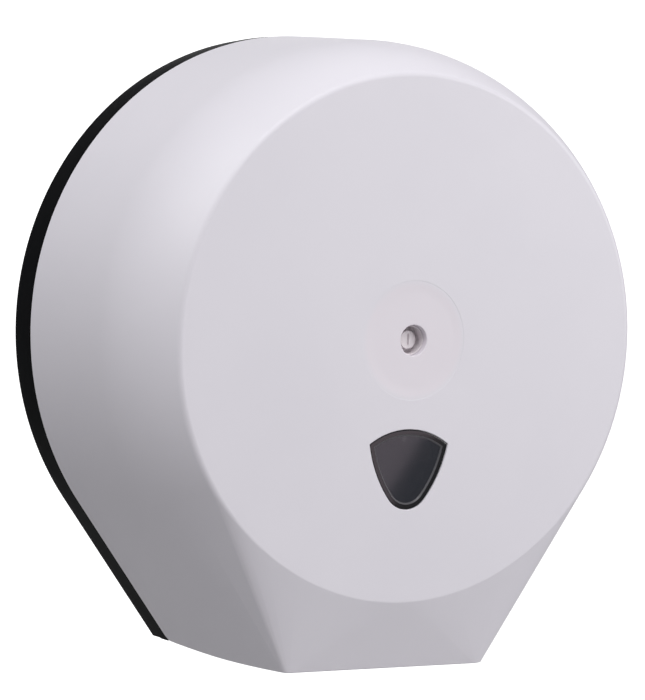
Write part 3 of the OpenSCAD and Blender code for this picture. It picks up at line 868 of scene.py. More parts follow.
def spoke_tree() -> ShapeTree:
    """A part repeated round the roll axis."""
    inputs = {"Part": "NodeSocketObject", "Count": "NodeSocketInt", "First": "NodeSocketFloat"}
    tree = ShapeTree("spokes", inputs)
    return tree.end(tree.round_axis(tree.given("Count"), tree.given("First")))


def row_tree() -> ShapeTree:
    """A part repeated along a straight row towards the front."""
    inputs = {"Part": "NodeSocketObject", "Count": "NodeSocketInt", "Pitch": "NodeSocketFloat"}
    tree = ShapeTree("row", inputs)
    backwards = tree.node("ShaderNodeMath", {0: tree.given("Pitch"), 1: -1.0}, {"operation": "MULTIPLY"})
    offset = tree.node("ShaderNodeCombineXYZ", {"Y": backwards})
    line = tree.node("GeometryNodeMeshLine", {"Count": tree.given("Count"), "Offset": offset})
    return tree.end(tree.repeated(line))


@dataclass(frozen=True)
class ScrewSize:
    """A size of screw and of the hole that it is driven into, in millimetres."""

    radius: float
    head_r: float
    head_h: float
    hole_r: float


FINE = ScrewSize(1.2, 2.3, 1.6, 1.25)
COARSE = ScrewSize(1.75, 3.3, 2.2, 1.8)


@dataclass
class Screw:
    """A crowned screw with a cross recess and rings for its thread, in millimetres."""

    size: ScrewSize
    length: float
    facing: Facing = Facing.FRONT
    pitch: float = 1.1
    thread_h: float = 0.25
    # Where the thread's crest and root lie within its pitch
    crest: float = 0.35
    root: float = 0.9
    tip: float = 1.0
    # Shares of the head's height and radius
    crown: float = 0.55
    recess_l: float = 0.6
    recess_w: float = 0.13
    recess_h: float = 0.5

    def solid(self) -> Solid:
        """One screw that seats at the origin."""
        radius, head_r, head_h = self.size.radius, self.size.head_r, self.size.head_h
        core, start = radius - self.thread_h, self.tip - self.length
        profile: list[Pair] = [(0.0, -self.length), (core, start)]
        for i in range(int((self.length - self.tip - self.pitch) / self.pitch)):
            low = start + i * self.pitch
            profile += [(radius, low + self.crest * self.pitch), (core, low + self.root * self.pitch)]
        profile += [(radius, -self.pitch / 2), (radius, 0.0), (head_r, 0.0)]
        for turn in (math.radians(a) for a in range(0, 90, 15)):
            share = 1 - self.crown + self.crown * math.sin(turn)
            profile.append((head_r * math.cos(turn), head_h * share))
        solid = Solid.turned(profile + [(0.0, head_h)], steps=32)
        long, wide = head_r * self.recess_l, head_r * self.recess_w
        depth = (head_h * (1 - self.recess_h), head_h + PAST)
        solid.cut(*[Solid.block((-x, x), depth, (-z, z)) for x, z in ((long, wide), (wide, long))])
        if self.facing is Facing.WALL:
            solid.obj.data.transform(Matrix.Rotation(math.pi, 4, "Z"))
        return solid

    def piece(
        self, places: Sequence[tuple[float, float, float]], seed: int, body: Body, node: str
    ) -> bpy.types.Object:
        """Puts one screw at each place.

        Args:
            places: The seats, as x, depth and height.
            seed: The seed of the turns of their recesses.
            body: The body they ride on.
            node: The node they stand for.

        Returns:
            All the screws as one piece.
        """
        points = Solid([at(*p) for p in places], [])
        screws = placed_tree().grown(
            points, BRIGHT_STEEL, {"Most Turn": math.pi, "Seed": seed}, self.solid()
        )
        return screws.named(f"{node}_crossed", BRIGHT_STEEL, body, node)


# ---------------------------------------------------------------- the object


@dataclass
class DrumForm:
    """The form that the cover and the base share, in millimetres."""

    body_w: float = 320.0
    body_d: float = 145.0
    foot_drop: float = 173.0
    foot_w: float = 137.0
    foot_bow: float = 2.2
    foot_bow_at: float = 0.44
    nose_set: float = 13.0
    nose_w: float = 121.4
    nose_corner: float = 6.0
    draft: float = 2.5
    shoulder_h: float = 53.0
    shoulder_r: float = 99.5
    crease_r: float = 4.0
    wall: float = 3.0
    rear_d: float = 20.0
    edge_r: float = 0.6
    rim_gap: float = 0.1
    foot_steps: int = 28
    through: float = 10.0

    def __post_init__(self) -> None:
        """Works out what follows from the sizes."""
        # Depths of the bottom front edge and of the disc's inner side
        self.nose_d = self.body_d - self.nose_set
        self.inner_d = self.body_d - self.wall
        # Centre of the shoulder's arc, as radius and depth
        start, slope = self.body_d - self.shoulder_h, math.radians(self.draft)
        self.arc_centre = (
            self.side_r(start) - self.shoulder_r * math.cos(slope),
            start - self.shoulder_r * math.sin(slope),
        )
        # Angle in degrees at which that arc meets the crease's, and the centre of the crease's arc
        crease_d, reach = self.body_d - self.crease_r, self.shoulder_r - self.crease_r
        self.crease_turn = math.degrees(math.asin((crease_d - self.arc_centre[1]) / reach))
        turn = math.radians(self.crease_turn)
        self.crease_centre = (self.arc_centre[0] + reach * math.cos(turn), crease_d)
        # Angle of the foot's straight sides to the vertical, in degrees, less than zero
        half = self.foot_w / 2
        lean = math.acos(self.side_r(self.rear_d) / math.hypot(half, self.foot_drop))
        self.foot_turn = math.degrees(lean - math.atan2(self.foot_drop, half))
        # What the foot's sides widen by, and what the chute gains in depth, for each millimetre up
        self.side_slope = -math.tan(math.radians(self.foot_turn))
        self.chute_slope = self.nose_set / (self.foot_drop - self.crease_centre[0])

    def side_r(self, depth: float) -> float:
        """Radius of the drafted side at a depth."""
        return self.body_w / 2 - depth * math.tan(math.radians(self.draft))

    def foot_x(self, depth: float) -> float:
        """Half the foot's width at a depth."""
        half, bow_d = self.foot_w / 2, self.rear_d + (self.nose_d - self.rear_d) * self.foot_bow_at
        if depth < bow_d:
            return half + self.foot_bow * (1 - ((bow_d - depth) / (bow_d - self.rear_d)) ** 2)
        fall = half + self.foot_bow - self.nose_w / 2
        return half + self.foot_bow - fall * ((depth - bow_d) / (self.nose_d - bow_d)) ** 2

    def outer_profile(self) -> list[Pair]:
        """Radius and depth from the rounded rear edge to the front disc."""
        edge_d = self.rear_d + self.edge_r
        edge = (self.side_r(edge_d) - self.edge_r / math.cos(math.radians(self.draft)), edge_d)
        return (
            arc(edge, self.edge_r, -90, self.draft, 4)
            + arc(self.arc_centre, self.shoulder_r, self.draft, self.crease_turn, 40)
            + arc(self.crease_centre, self.crease_r, self.crease_turn, 90, 10)[1:]
        )

    def inner_profile(self) -> list[Pair]:
        """Radius and depth of the cavity, which runs on behind the rear edge."""
        radius = self.shoulder_r - self.wall
        last = math.degrees(math.asin((self.inner_d - self.arc_centre[1]) / radius))
        slope = math.cos(math.radians(self.draft))
        start = (self.side_r(0) - self.wall / slope, 0.0)
        return [start] + arc(self.arc_centre, radius, self.draft, last, 16)

    def foot_level(self, inset_x: float, inset_d: float, drop: float) -> list[Vector]:
        """The foot's points at one height.

        Args:
            inset_x: How far each side is drawn in.
            inset_d: How far the nose is drawn back.
            drop: How far the level lies below the roll axis.

        Returns:
            The points of both sides and of the rounded nose.
        """
        run = self.nose_d - self.rear_d
        depths = [self.rear_d + run * i / self.foot_steps for i in range(self.foot_steps + 1)]
        side = [(self.foot_x(d) - inset_x, d - inset_d * (d - self.rear_d) / run) for d in depths]
        plan = side + [(-x, d) for x, d in reversed(side)]
        return [at(x, d, -drop) for x, d in softened(plan, self.nose_corner, closed=False, steps=8)]

    def hull(self, profile: Sequence[Pair], foot: Sequence[Vector], turns: int) -> Solid:
        """The smooth convex form over a turned profile and a foot."""
        seed = Solid([at(r, d, 0) for r, d in profile] + list(foot), [])
        mark = seed.obj.data.attributes.new("foot", "FLOAT", "POINT")
        mark.data.foreach_set("value", [0.0] * len(profile) + [1.0] * len(foot))
        return drum_tree().grown(seed, WHITE_SHELL, {"Turns": turns})

    def outer(self, turns: int) -> Solid:
        """The cover's outer form, its bottom edge rounded."""
        e = self.edge_r
        foot: list[Vector] = []
        for share in (0.0, 0.3, 1.0):
            lift, inset = e * (1 - share), e * share**2
            foot += self.foot_level(
                inset - lift * self.side_slope, inset - lift * self.chute_slope, self.foot_drop - lift
            )
        return self.hull(self.outer_profile(), foot, turns)

    def inner(self, turns: int) -> Solid:
        """The cover's cavity."""
        wall_x = self.wall / math.cos(math.radians(self.foot_turn))
        wall_d = self.wall * math.hypot(1, self.chute_slope)
        low = self.foot_drop + self.through
        inset_x = wall_x + self.through * self.side_slope
        foot = self.foot_level(inset_x, wall_d + self.through * self.chute_slope, low)
        foot += [at(s * (self.foot_w / 2 - inset_x), 0, -low) for s in SIDES]
        return self.hull(self.inner_profile(), foot, turns)

    def outline(self, inset: float, drop_inset: float, steps: int = 150) -> list[Pair]:
        """The front view of the body, drawn in.

        Args:
            inset: How far the round part and the straight sides are drawn in from the rim.
            drop_inset: How far the bottom edge is raised.
            steps: The number of chords round the top.

        Returns:
            x and height of its points.
        """
        radius = self.side_r(self.rear_d) - self.rim_gap - inset
        half, drop = self.foot_w / 2, self.foot_drop - drop_inset
        turn = math.radians(self.foot_turn)
        half -= inset / math.cos(turn) + drop_inset * math.tan(turn)
        lean = math.degrees(math.acos(radius / math.hypot(half, drop)) - math.atan2(drop, half))
        return arc((0.0, 0.0), radius, lean, 180 - lean, steps) + [(-half, -drop), (half, -drop)]


@dataclass
class LockSizes:
    """The central lock's sizes and depths, in millimetres."""

    form: DrumForm
    dish_r: float = 31.0
    dish_h: float = 0.5
    dish_margin: float = 2.0
    dish_back: float = 1.5
    hole_r: float = 8.0
    ring_h: float = 3.0
    face_h: float = 2.4
    mouth_r: float = 7.2
    head_r: float = 4.7
    head_t: float = 4.0
    plug_r: float = 4.2
    plug_gap: float = 0.05
    barrel_r: float = 8.5
    flange_r: float = 18.0
    flange_t: float = 2.5
    boss_h: float = 4.0
    boss_margin: float = 1.0
    tail_l: float = 13.5
    screw_x: float = 13.0
    tail_r: float = 3.0
    square: float = 4.0
    groove_r: float = 3.4
    clip_t: float = 1.0
    collar_t: float = 1.0
    play: float = 0.3
    space: float = 5.7
    strike_t: float = 2.5
    cam_t: float = 2.6
    cam_proud: float = 0.2
    cam_screw_l: float = 8.0

    def __post_init__(self) -> None:
        """Works out the depths, from the disc to the cam."""
        # The faces of the barrel and of the plug, the back of the plug's head, and the mouth's floor
        self.ring_d = self.form.body_d - self.dish_h - self.ring_h
        self.face_d = self.ring_d - self.face_h
        self.seat_d = self.face_d - self.head_t
        self.mouth_d = self.seat_d - self.play
        # The boss's rear face, and the barrel's rear end
        self.boss_d = self.form.inner_d - self.boss_h
        self.barrel_end_d = self.boss_d - self.tail_l
        # The clip's groove, rear and front
        clip_front = self.barrel_end_d - self.play
        self.clip_d = (clip_front - self.clip_t, clip_front)
        # The strike plate's face, and the spindle's end behind the plate
        self.strike_d = self.clip_d[0] - self.collar_t - self.space
        self.spindle_d = self.strike_d - self.strike_t
        # The cam, rear and front
        cam_front = self.spindle_d - self.play
        self.cam_d = (cam_front - self.cam_t, cam_front)


@dataclass
class WindowSizes:
    """The window's shield outline and lens, in millimetres."""

    width: float = 47.8
    top: float = 46.4
    rise: float = 7.6
    tip: float = 87.8
    tip_r: float = 14.0
    side_r: float = 65.0
    gap: float = 0.2
    sink: float = 0.5
    border: float = 2.4
    bevel: float = 0.9
    step: float = 0.6
    flange_w: float = 6.0
    flange_t: float = 1.6
    post_x: float = 15.0
    post_r: float = 1.5
    post_h: float = 4.5
    post_chamfer: float = 0.4
    post_offset: float = 0.3
    clip_r: float = 3.4
    clip_t: float = 0.8
    clip_gap: float = 0.05
    clip_dome: float = 1.2
    clip_mouth: float = 0.6

    @property
    def top_arc(self) -> tuple[Vector, float]:
        """Centre and radius of the arched upper edge."""
        radius = ((self.width / 2) ** 2 + self.rise**2) / (2 * self.rise)
        return Vector((0.0, -self.top - radius)), radius

    def shield(self, grow: float) -> list[Pair]:
        """The outline, grown or shrunk.

        Args:
            grow: How far it is grown.

        Returns:
            x and height of its points, from the middle of the top round by the right.
        """
        corner, tip = Vector((self.width / 2, -self.top - self.rise)), Vector((0.0, -self.tip + self.tip_r))
        centre = crossing(corner, self.side_r, tip, self.side_r - self.tip_r)
        top_centre, top_r = self.top_arc
        if grow < 0:
            corner = crossing(top_centre, top_r + grow, centre, self.side_r + grow)
        join, first, last = bearing(centre, tip), bearing(centre, corner), bearing(top_centre, corner)
        right = arc(tuple(top_centre), top_r + grow, 90, last, 16)
        right += arc(tuple(centre), self.side_r + grow, first, join, 24)
        right += arc(tuple(tip), self.tip_r + grow, join, -90, 14)[1:]
        return right + [(-x, z) for x, z in reversed(right[1:-1])]

    def posts(self) -> list[Pair]:
        """x and height of the lens's posts."""
        reach = self.flange_w / 2 + self.post_offset
        centre, radius = self.top_arc
        height = centre.y + math.sqrt((radius + reach) ** 2 - self.post_x**2)
        return [(-self.post_x, height), (self.post_x, height), (0.0, -self.tip - reach)]


@dataclass
class Hinge:
    """The two pins at the bottom that the cover swings on, in millimetres."""

    form: DrumForm
    inset: float = 4.0
    pin_r: float = 2.0
    pin_gap: float = 0.05
    lug_x: float = 60.0
    lug_t: float = 4.0
    lug_relief: float = 0.2
    lug_root: float = 1.5
    ear_gap: float = 0.4
    reach: float = 3.6
    end_gap: float = 0.4
    ear_h: float = 14.0
    head_r: float = 3.2
    head_t: float = 1.5
    pin_soft: float = 0.5

    def __post_init__(self) -> None:
        """Works out the depth and height of the axis, and where the ears and their bores end."""
        self.middle = (self.form.rear_d + self.inset, -self.form.foot_drop + self.inset)
        self.ear_x = self.lug_x + self.lug_t + self.ear_gap
        self.bore_x = self.ear_x + self.reach + self.end_gap

    def ear(self, side: int) -> Solid:
        """The cover's ear on one side, up to the middle of its side wall."""
        depth, height = self.middle
        top = height + self.ear_h
        outline = arc(self.middle, self.inset, 180, 360, 16)
        outline += [(depth + self.inset, top), (depth - self.inset, top)]
        solid = Solid.prism(outline, side * self.ear_x, side * self.form.body_w / 2, Axis.ACROSS)
        lean = math.radians(-self.form.foot_turn)
        outwards = Vector((side * math.cos(lean), 0, -math.sin(lean)))
        reach = (self.form.side_r(self.form.rear_d) - self.form.wall / 2) * MM
        return solid.trimmed(outwards * reach, outwards)

    def bore(self, end: float) -> Solid:
        """A bore for both pins, up to an end on each side."""
        return Solid.rod(self.pin_r + self.pin_gap, -end, end, self.middle, Axis.ACROSS)

    def rolling_corner(self) -> Solid:
        """What is taken off the rear corner so that it rolls past the base."""
        depth, height = self.middle
        far = self.inset + PAST
        square = [(depth, height - far), (depth - far, height - far), (depth - far, height)]
        outline = square + arc((depth, height), self.inset, 180, 270, 16)
        return Solid.prism(outline, -self.form.foot_w, self.form.foot_w, Axis.ACROSS)

    def lug(self, side: int) -> Solid:
        """The base's lug on one side."""
        height, radius = self.middle[1], self.inset - self.lug_relief
        outline = arc(self.middle, radius, -90, 90, 18)
        outline += [(self.lug_root, height + radius), (self.lug_root, height - radius)]
        start = side * self.lug_x
        return Solid.prism(outline, start, start + side * self.lug_t, Axis.ACROSS)

    def pin(self, side: int) -> bpy.types.Object:
        """One headed pin, which replaces its node."""
        start, end = self.lug_x - self.head_t, self.ear_x + self.reach
        head = [(0, start), (self.head_r, start), (self.head_r, self.lug_x)]
        shank = [(self.pin_r, self.lug_x), (self.pin_r, end), (0, end)]
        profile = [(r, side * x) for r, x in softened(head + shank, self.pin_soft, closed=False)]
        node = "hinge_pin_right" if side > 0 else "hinge_pin_left"
        solid = Solid.turned(profile, self.middle, Axis.ACROSS, 48)
        return solid.named(f"{node}_turned", TURNED_STEEL, Body.BASE, node)


@dataclass
class Cover:
    """The moulded cover with its window and the places for the lock."""

    form: DrumForm
    lock: LockSizes
    window: WindowSizes
    hinge: Hinge
    lip: float = 0.45
    dish_h: float = 0.28
    dish_rim: float = 0.08
    dish_slope: float = 7.0
    dish_steps: int = 8
    soft: float = 0.2
    boss_soft: float = 0.5
    clip_soft: float = 0.15
    skin: float = 0.01
    turns: int = 480

    def build(self) -> list[bpy.types.Object]:
        """Builds the shell, the lens and the clips behind it."""
        return [self.shell(), self.lens(), self.border(), self.bevel(), self.clips()]

    def shell(self) -> bpy.types.Object:
        """The white shell."""
        k, inner = self.lock, self.form.inner_d
        shell = self.form.outer(self.turns).cut(self.form.inner(self.turns // 2))
        shell.join(self._bosses(), *[self._post(place) for place in self.window.posts()])
        shell.join(*[self.hinge.ear(side) for side in SIDES])
        shell.cut(self._lock_recess(), self._window_hole())
        shell.cut(self.hinge.bore(self.hinge.bore_x), self.hinge.rolling_corner())
        shell.cut(*Solid.rods(FINE.hole_r, k.boss_d - PAST, inner, both(k.screw_x)))
        return shell.named("cover_shell", WHITE_SHELL, Body.COVER, "front_cover", smooth=24)

    def lens(self) -> bpy.types.Object:
        """The smoked lens: a flange behind the disc and a sunk face within a border."""
        w, soft = self.window, self.soft
        inner, rear = self.form.inner_d, self.form.inner_d - w.flange_t
        border_d = self.border_levels[0][0] - self.skin
        levels = [
            (rear, w.flange_w - soft), (rear + soft, w.flange_w), (inner - soft, w.flange_w),
            (inner, w.flange_w - soft), (inner, 0.0), (border_d, 0.0), (border_d, -w.border),
            (self.face_d, -w.border - w.bevel),
        ]
        lens = Solid.lofted(self._rings(levels))
        lens.cut(*Solid.rods(w.post_r + w.gap, rear - PAST, inner + PAST, w.posts()))
        return lens.named("window_lens_polished", SMOKED_WINDOW, Body.COVER, "window_lens", smooth=28)

    @property
    def face_d(self) -> float:
        """Depth of the lens's sunk face."""
        return self.form.body_d - self.window.sink - self.window.step

    @property
    def border_levels(self) -> list[Pair]:
        """Depth and growth of the outline at each edge of the lens's border."""
        w, top = self.window, self.form.body_d - self.window.sink
        low = self.face_d + self.soft
        rounding = [(top - 0.2, -0.08), (top - 0.05, -0.25), (top, -0.5)]
        return [(low, 0.0), *rounding, (top, -w.border), (low, -w.border)]

    def border(self) -> bpy.types.Object:
        """The darker border round the lens's face."""
        border = Solid.lofted(self._rings(self.border_levels), looped=True)
        return border.named("window_lens_border", WINDOW_BORDER, Body.COVER, "window_lens", smooth=28)

    def bevel(self) -> bpy.types.Object:
        """The bevel between the border and the face, whose lighter colour is a painted highlight."""
        w, top = self.window, self.form.body_d - self.window.sink
        start, low = -w.border - self.skin, self.face_d + 2 * self.skin
        levels = [(top, start), (low, start - w.bevel), (low, start)]
        bevel = Solid.lofted(self._rings(levels), looped=True)
        return bevel.named("window_lens_bevel", WINDOW_BEVEL_HIGHLIGHT, Body.COVER, "window_lens", smooth=28)

    def _rings(self, levels: Sequence[Pair]) -> list[list[Vector]]:
        """The window's outline at each depth and growth."""
        return [[at(x, d, z) for x, z in self.window.shield(grow)] for d, grow in levels]

    def clips(self) -> bpy.types.Object:
        """The push-on clips on the lens's posts."""
        w = self.window
        front, bore = self.form.inner_d - w.flange_t, w.post_r + w.clip_gap
        ring = [
            (bore, -w.clip_t), (w.clip_r - w.clip_dome, -w.clip_t), (w.clip_r, -w.clip_t / 2),
            (w.clip_r, 0), (bore + w.clip_mouth, 0), (bore, -w.clip_t / 3),
        ]
        part = Solid.turned(softened(ring, self.clip_soft), steps=40)
        points = Solid([at(x, front, z) for x, z in w.posts()], [])
        clips = placed_tree().grown(points, BRIGHT_STEEL, {"Most Turn": 0.0, "Seed": 0}, part)
        return clips.named("window_clips_pressed", BRIGHT_STEEL, Body.COVER, "window_clips")

    def _bosses(self) -> Solid:
        """The thicker wall behind the dish and the lock's boss on it."""
        k, inner = self.lock, self.form.inner_d
        boss_r, back_r = k.flange_r + k.boss_margin, k.dish_r + k.dish_margin
        step, end = inner - k.dish_back, inner + PAST
        boss = [(0, k.boss_d), (boss_r, k.boss_d), (boss_r, step)]
        back = [(back_r, step), (back_r, end), (0, end)]
        return Solid.turned(softened(boss + back, self.boss_soft, closed=False), steps=120)

    def _post(self, place: Pair) -> Solid:
        """One of the lens's posts."""
        w, start, end = self.window, self.form.inner_d - self.window.post_h, self.form.inner_d + PAST
        tip = [(0, start), (w.post_r - w.post_chamfer, start), (w.post_r, start + w.post_chamfer)]
        return Solid.turned(tip + [(w.post_r, end), (0, end)], place, steps=32)

    def _lip_steps(self) -> list[Pair]:
        """How much wider and how much deeper a hole's rounded lip is, step by step outwards."""
        turns = [math.radians(a) for a in range(0, 91, 18)]
        return [(self.lip * (1 - math.cos(t)), self.lip * (1 - math.sin(t))) for t in turns]

    def _lock_recess(self) -> Solid:
        """The soft-edged dish and the lock's hole with its rounded lip."""
        k, body = self.lock, self.form.body_d
        floor, start, rim_r = body - self.dish_h, k.boss_d - PAST, k.dish_r + self.dish_rim
        lip = [(k.hole_r + wide, floor - deep) for wide, deep in self._lip_steps()]
        edge = []
        for i in range(self.dish_steps + 1):
            t = i / self.dish_steps
            rise = (self.dish_h - self.dish_rim) * t * t * (3 - 2 * t)
            edge.append((k.dish_r - self.dish_slope * (1 - t), floor + rise))
        top = [(rim_r, body), (rim_r, body + PAST), (0, body + PAST)]
        return Solid.turned([(0, start), (k.hole_r, start), *lip, *edge, *top], steps=180)

    def _window_hole(self) -> Solid:
        """The window's opening with its rounded lip."""
        gap, body = self.window.gap, self.form.body_d
        lip = [(body - deep, gap + wide) for wide, deep in self._lip_steps()]
        ends = (self.form.inner_d - PAST, gap), (body + PAST, gap + self.lip)
        return Solid.lofted(self._rings([ends[0], *lip, ends[1]]))


@dataclass
class Lock:
    """The barrel in the cover, and the plug, clip, cam and screw that turn in it."""

    sizes: LockSizes
    hole_gap: float = 0.1
    slot_w: float = 0.6
    slot_l: float = 3.0
    slot_h: float = 0.8
    barrel_soft: float = 0.35
    plug_soft: float = 0.3
    clip_soft: float = 0.15
    cam_soft: float = 0.25
    spare: float = 0.5

    def build(self) -> list[bpy.types.Object]:
        """Builds the lock's pieces."""
        return [self.barrel(), self.barrel_screws(), self.plug(), self.clip(), self.cam(), self.cam_screw()]

    def barrel(self) -> bpy.types.Object:
        """The barrel, its face a plain ring."""
        k = self.sizes
        outer, bore, seat = k.hole_r - self.hole_gap, k.plug_r + k.plug_gap, k.boss_d - k.flange_t
        profile = [
            (bore, k.barrel_end_d), (k.barrel_r, k.barrel_end_d), (k.barrel_r, seat), (k.flange_r, seat),
            (k.flange_r, k.boss_d), (outer, k.boss_d), (outer, k.ring_d), (k.mouth_r, k.ring_d),
            (k.mouth_r, k.mouth_d), (bore, k.mouth_d),
        ]
        barrel = Solid.turned(softened(profile, self.barrel_soft), steps=96)
        barrel.cut(*Solid.rods(FINE.hole_r, seat - PAST, k.boss_d + PAST, both(k.screw_x)))
        return barrel.named("lock_barrel_moulded", LOCK_PLASTIC, Body.COVER, "lock_barrel")

    def barrel_screws(self) -> bpy.types.Object:
        """The two screws that hold the barrel from behind."""
        k = self.sizes
        screw = Screw(FINE, k.flange_t + k.boss_h - self.spare, Facing.WALL)
        places = [(x, k.boss_d - k.flange_t, z) for x, z in both(k.screw_x)]
        return screw.piece(places, 3, Body.COVER, "lock_screws")

    def plug(self) -> bpy.types.Object:
        """The plug with its key slot, groove, tail and square."""
        k = self.sizes
        (rear, front), collar, half = k.clip_d, k.clip_d[0] - k.collar_t, k.square / 2
        profile = [
            (0, k.cam_d[1]), (k.tail_r, k.cam_d[1]), (k.tail_r, collar), (k.plug_r, collar), (k.plug_r, rear),
            (k.groove_r, rear), (k.groove_r, front), (k.plug_r, front), (k.plug_r, k.seat_d),
            (k.head_r, k.seat_d), (k.head_r, k.face_d), (0, k.face_d),
        ]
        plug = Solid.turned(softened(profile, self.plug_soft, closed=False), steps=72)
        square_d = (k.cam_d[0] + k.cam_proud, k.cam_d[1] + PAST)
        plug.join(Solid.block((-half, half), square_d, (-half, half)))
        w, l = self.slot_w, self.slot_l
        slot = softened([(-w, -l), (w, -l), (w, l), (-w, l)], w)
        plug.cut(Solid.prism(slot, k.face_d - self.slot_h, k.face_d + PAST))
        plug.cut(Solid.rod(FINE.hole_r, k.cam_d[0] - PAST, k.cam_d[0] + k.cam_screw_l + self.spare))
        return plug.named("lock_plug_slotted", LOCK_PLASTIC, Body.LOCK, "lock_plug")

    def clip(self) -> bpy.types.Object:
        """The open clip in the plug's groove."""
        clip = refined("plug_clip", self.clip_soft)
        return clip.named("plug_clip_stamped", BRIGHT_STEEL, Body.LOCK, "plug_clip")

    def cam(self) -> bpy.types.Object:
        """The cam that passes the strike plate's slot."""
        cam = refined("lock_cam", self.cam_soft)
        return cam.named("lock_cam_stamped", BRIGHT_STEEL, Body.LOCK, "lock_cam")

    def cam_screw(self) -> bpy.types.Object:
        """The screw that clamps the cam."""
        screw = Screw(FINE, self.sizes.cam_screw_l, Facing.WALL)
        return screw.piece([(0, self.sizes.cam_d[0], 0)], 5, Body.LOCK, "cam_screw")


@dataclass
class RollCarrier:
    """The fixed spindle with the turning hub, its washer and the strike plate, in millimetres."""

    lock: LockSizes
    seat_d: float = 6.0
    flange_t: float = 4.0
    flange_r: float = 33.0
    spindle_r: float = 17.0
    bore_r: float = 13.0
    washer_t: float = 1.5
    washer_r: float = 22.0
    hub_r: float = 21.0
    hub_flange_r: float = 45.0
    hub_flange_t: float = 3.0
    taper_l: float = 6.0
    taper_in: float = 1.2
    bearing_gap: float = 0.05
    play: float = 0.3
    screw_pcr: float = 26.0
    screw_left: float = 1.5
    head_hole_r: float = 3.5
    boss_r: float = 3.8
    boss_drop: float = 0.3
    boss_inset: float = 0.2
    strike_r: float = 19.5
    strike_screw_x: float = 14.6
    strike_screw_l: float = 9.0
    strike_slot_x: float = 4.0
    strike_slot_z: Pair = (-12.5, 9.5)
    moulded_soft: float = 0.6
    pressed_soft: float = 0.25
    spare: float = 0.5

    def __post_init__(self) -> None:
        """Works out the depths of the flange's face and of its screws' seats."""
        self.flange_d = self.seat_d + self.flange_t
        self.head_d = self.flange_d - COARSE.head_h

    def flange_places(self) -> list[Pair]:
        """x and height of the flange's screws."""
        turns = [math.radians(a) for a in (45, 135, 225, 315)]
        return [(self.screw_pcr * math.cos(t), self.screw_pcr * math.sin(t)) for t in turns]

    def build(self) -> list[bpy.types.Object]:
        """Builds the carrier's pieces."""
        fixed = [self.spindle(), self.flange_screws(), self.washer()]
        return fixed + [self.hub(), self.strike(), self.strike_screws()]

    def spindle(self) -> bpy.types.Object:
        """The spindle, with bosses inside for the strike plate's screws."""
        end, root, screws = self.lock.spindle_d, self.flange_d, both(self.strike_screw_x)
        profile = [
            (0, self.seat_d), (self.flange_r, self.seat_d), (self.flange_r, root), (self.spindle_r, root),
            (self.spindle_r, end), (self.bore_r, end), (self.bore_r, root), (0, root),
        ]
        spindle = Solid.turned(softened(profile, self.moulded_soft, closed=False), steps=120)
        for boss in Solid.rods(self.boss_r, root - PAST, end - self.boss_drop, screws):
            inside = Solid.rod(self.spindle_r - self.boss_inset, root - 2 * PAST, end, steps=120)
            spindle.join(boss.keep_inside(inside))
        for place in self.flange_places():
            spindle.cut(Solid.rod(self.head_hole_r, self.head_d, root + PAST, place))
            spindle.cut(Solid.rod(COARSE.hole_r, self.seat_d - PAST, root, place))
        spindle.cut(*Solid.rods(FINE.hole_r, end - self.strike_screw_l, end + PAST, screws))
        return spindle.named("spindle_moulded", GREY_PART, Body.BASE, "spindle")

    def flange_screws(self) -> bpy.types.Object:
        """The four screws that hold the spindle."""
        places = [(x, self.head_d, z) for x, z in self.flange_places()]
        return Screw(COARSE, self.head_d - self.screw_left).piece(places, 11, Body.BASE, "spindle_screws")

    def washer(self) -> bpy.types.Object:
        """The washer that the hub runs on."""
        bore, rear, front = self.spindle_r + self.bearing_gap, self.flange_d, self.flange_d + self.washer_t
        ring = [(bore, rear), (self.washer_r, rear), (self.washer_r, front), (bore, front)]
        washer = Solid.turned(softened(ring, self.pressed_soft), steps=96)
        return washer.named("hub_washer_stamped", TURNED_STEEL, Body.BASE, "hub_washer")

    def hub(self) -> bpy.types.Object:
        """The turning hub that a roll's core slides over."""
        rear, front = self.flange_d + self.washer_t + self.play, self.lock.spindle_d - self.play
        step, bore = rear + self.hub_flange_t, self.spindle_r + self.bearing_gap
        profile = [
            (bore, rear), (self.hub_flange_r, rear), (self.hub_flange_r, step), (self.hub_r, step),
            (self.hub_r, front - self.taper_l), (self.hub_r - self.taper_in, front), (bore, front),
        ]
        hub = Solid.turned(softened(profile, self.moulded_soft), steps=144)
        return hub.named("core_hub_moulded", PALE_HUB, Body.HUB, "core_hub")

    def strike(self) -> bpy.types.Object:
        """The slotted plate that the cam locks behind."""
        rear, front = self.lock.spindle_d, self.lock.strike_d
        cut_d, x = (rear - PAST, front + PAST), self.strike_slot_x
        plate = Solid.rod(self.strike_r, rear, front, steps=96)
        plate.cut(Solid.block((-x, x), cut_d, self.strike_slot_z))
        plate.cut(*Solid.rods(FINE.hole_r, *cut_d, both(self.strike_screw_x), steps=32))
        plate.eased(self.pressed_soft)
        return plate.named("strike_plate_pressed", BRIGHT_STEEL, Body.BASE, "strike_plate")

    def strike_screws(self) -> bpy.types.Object:
        """The two screws of the strike plate."""
        screw = Screw(FINE, self.lock.strike_t + self.strike_screw_l - self.spare)
        places = [(x, self.lock.strike_d, z) for x, z in both(self.strike_screw_x)]
        return screw.piece(places, 7, Body.BASE, "strike_screws")


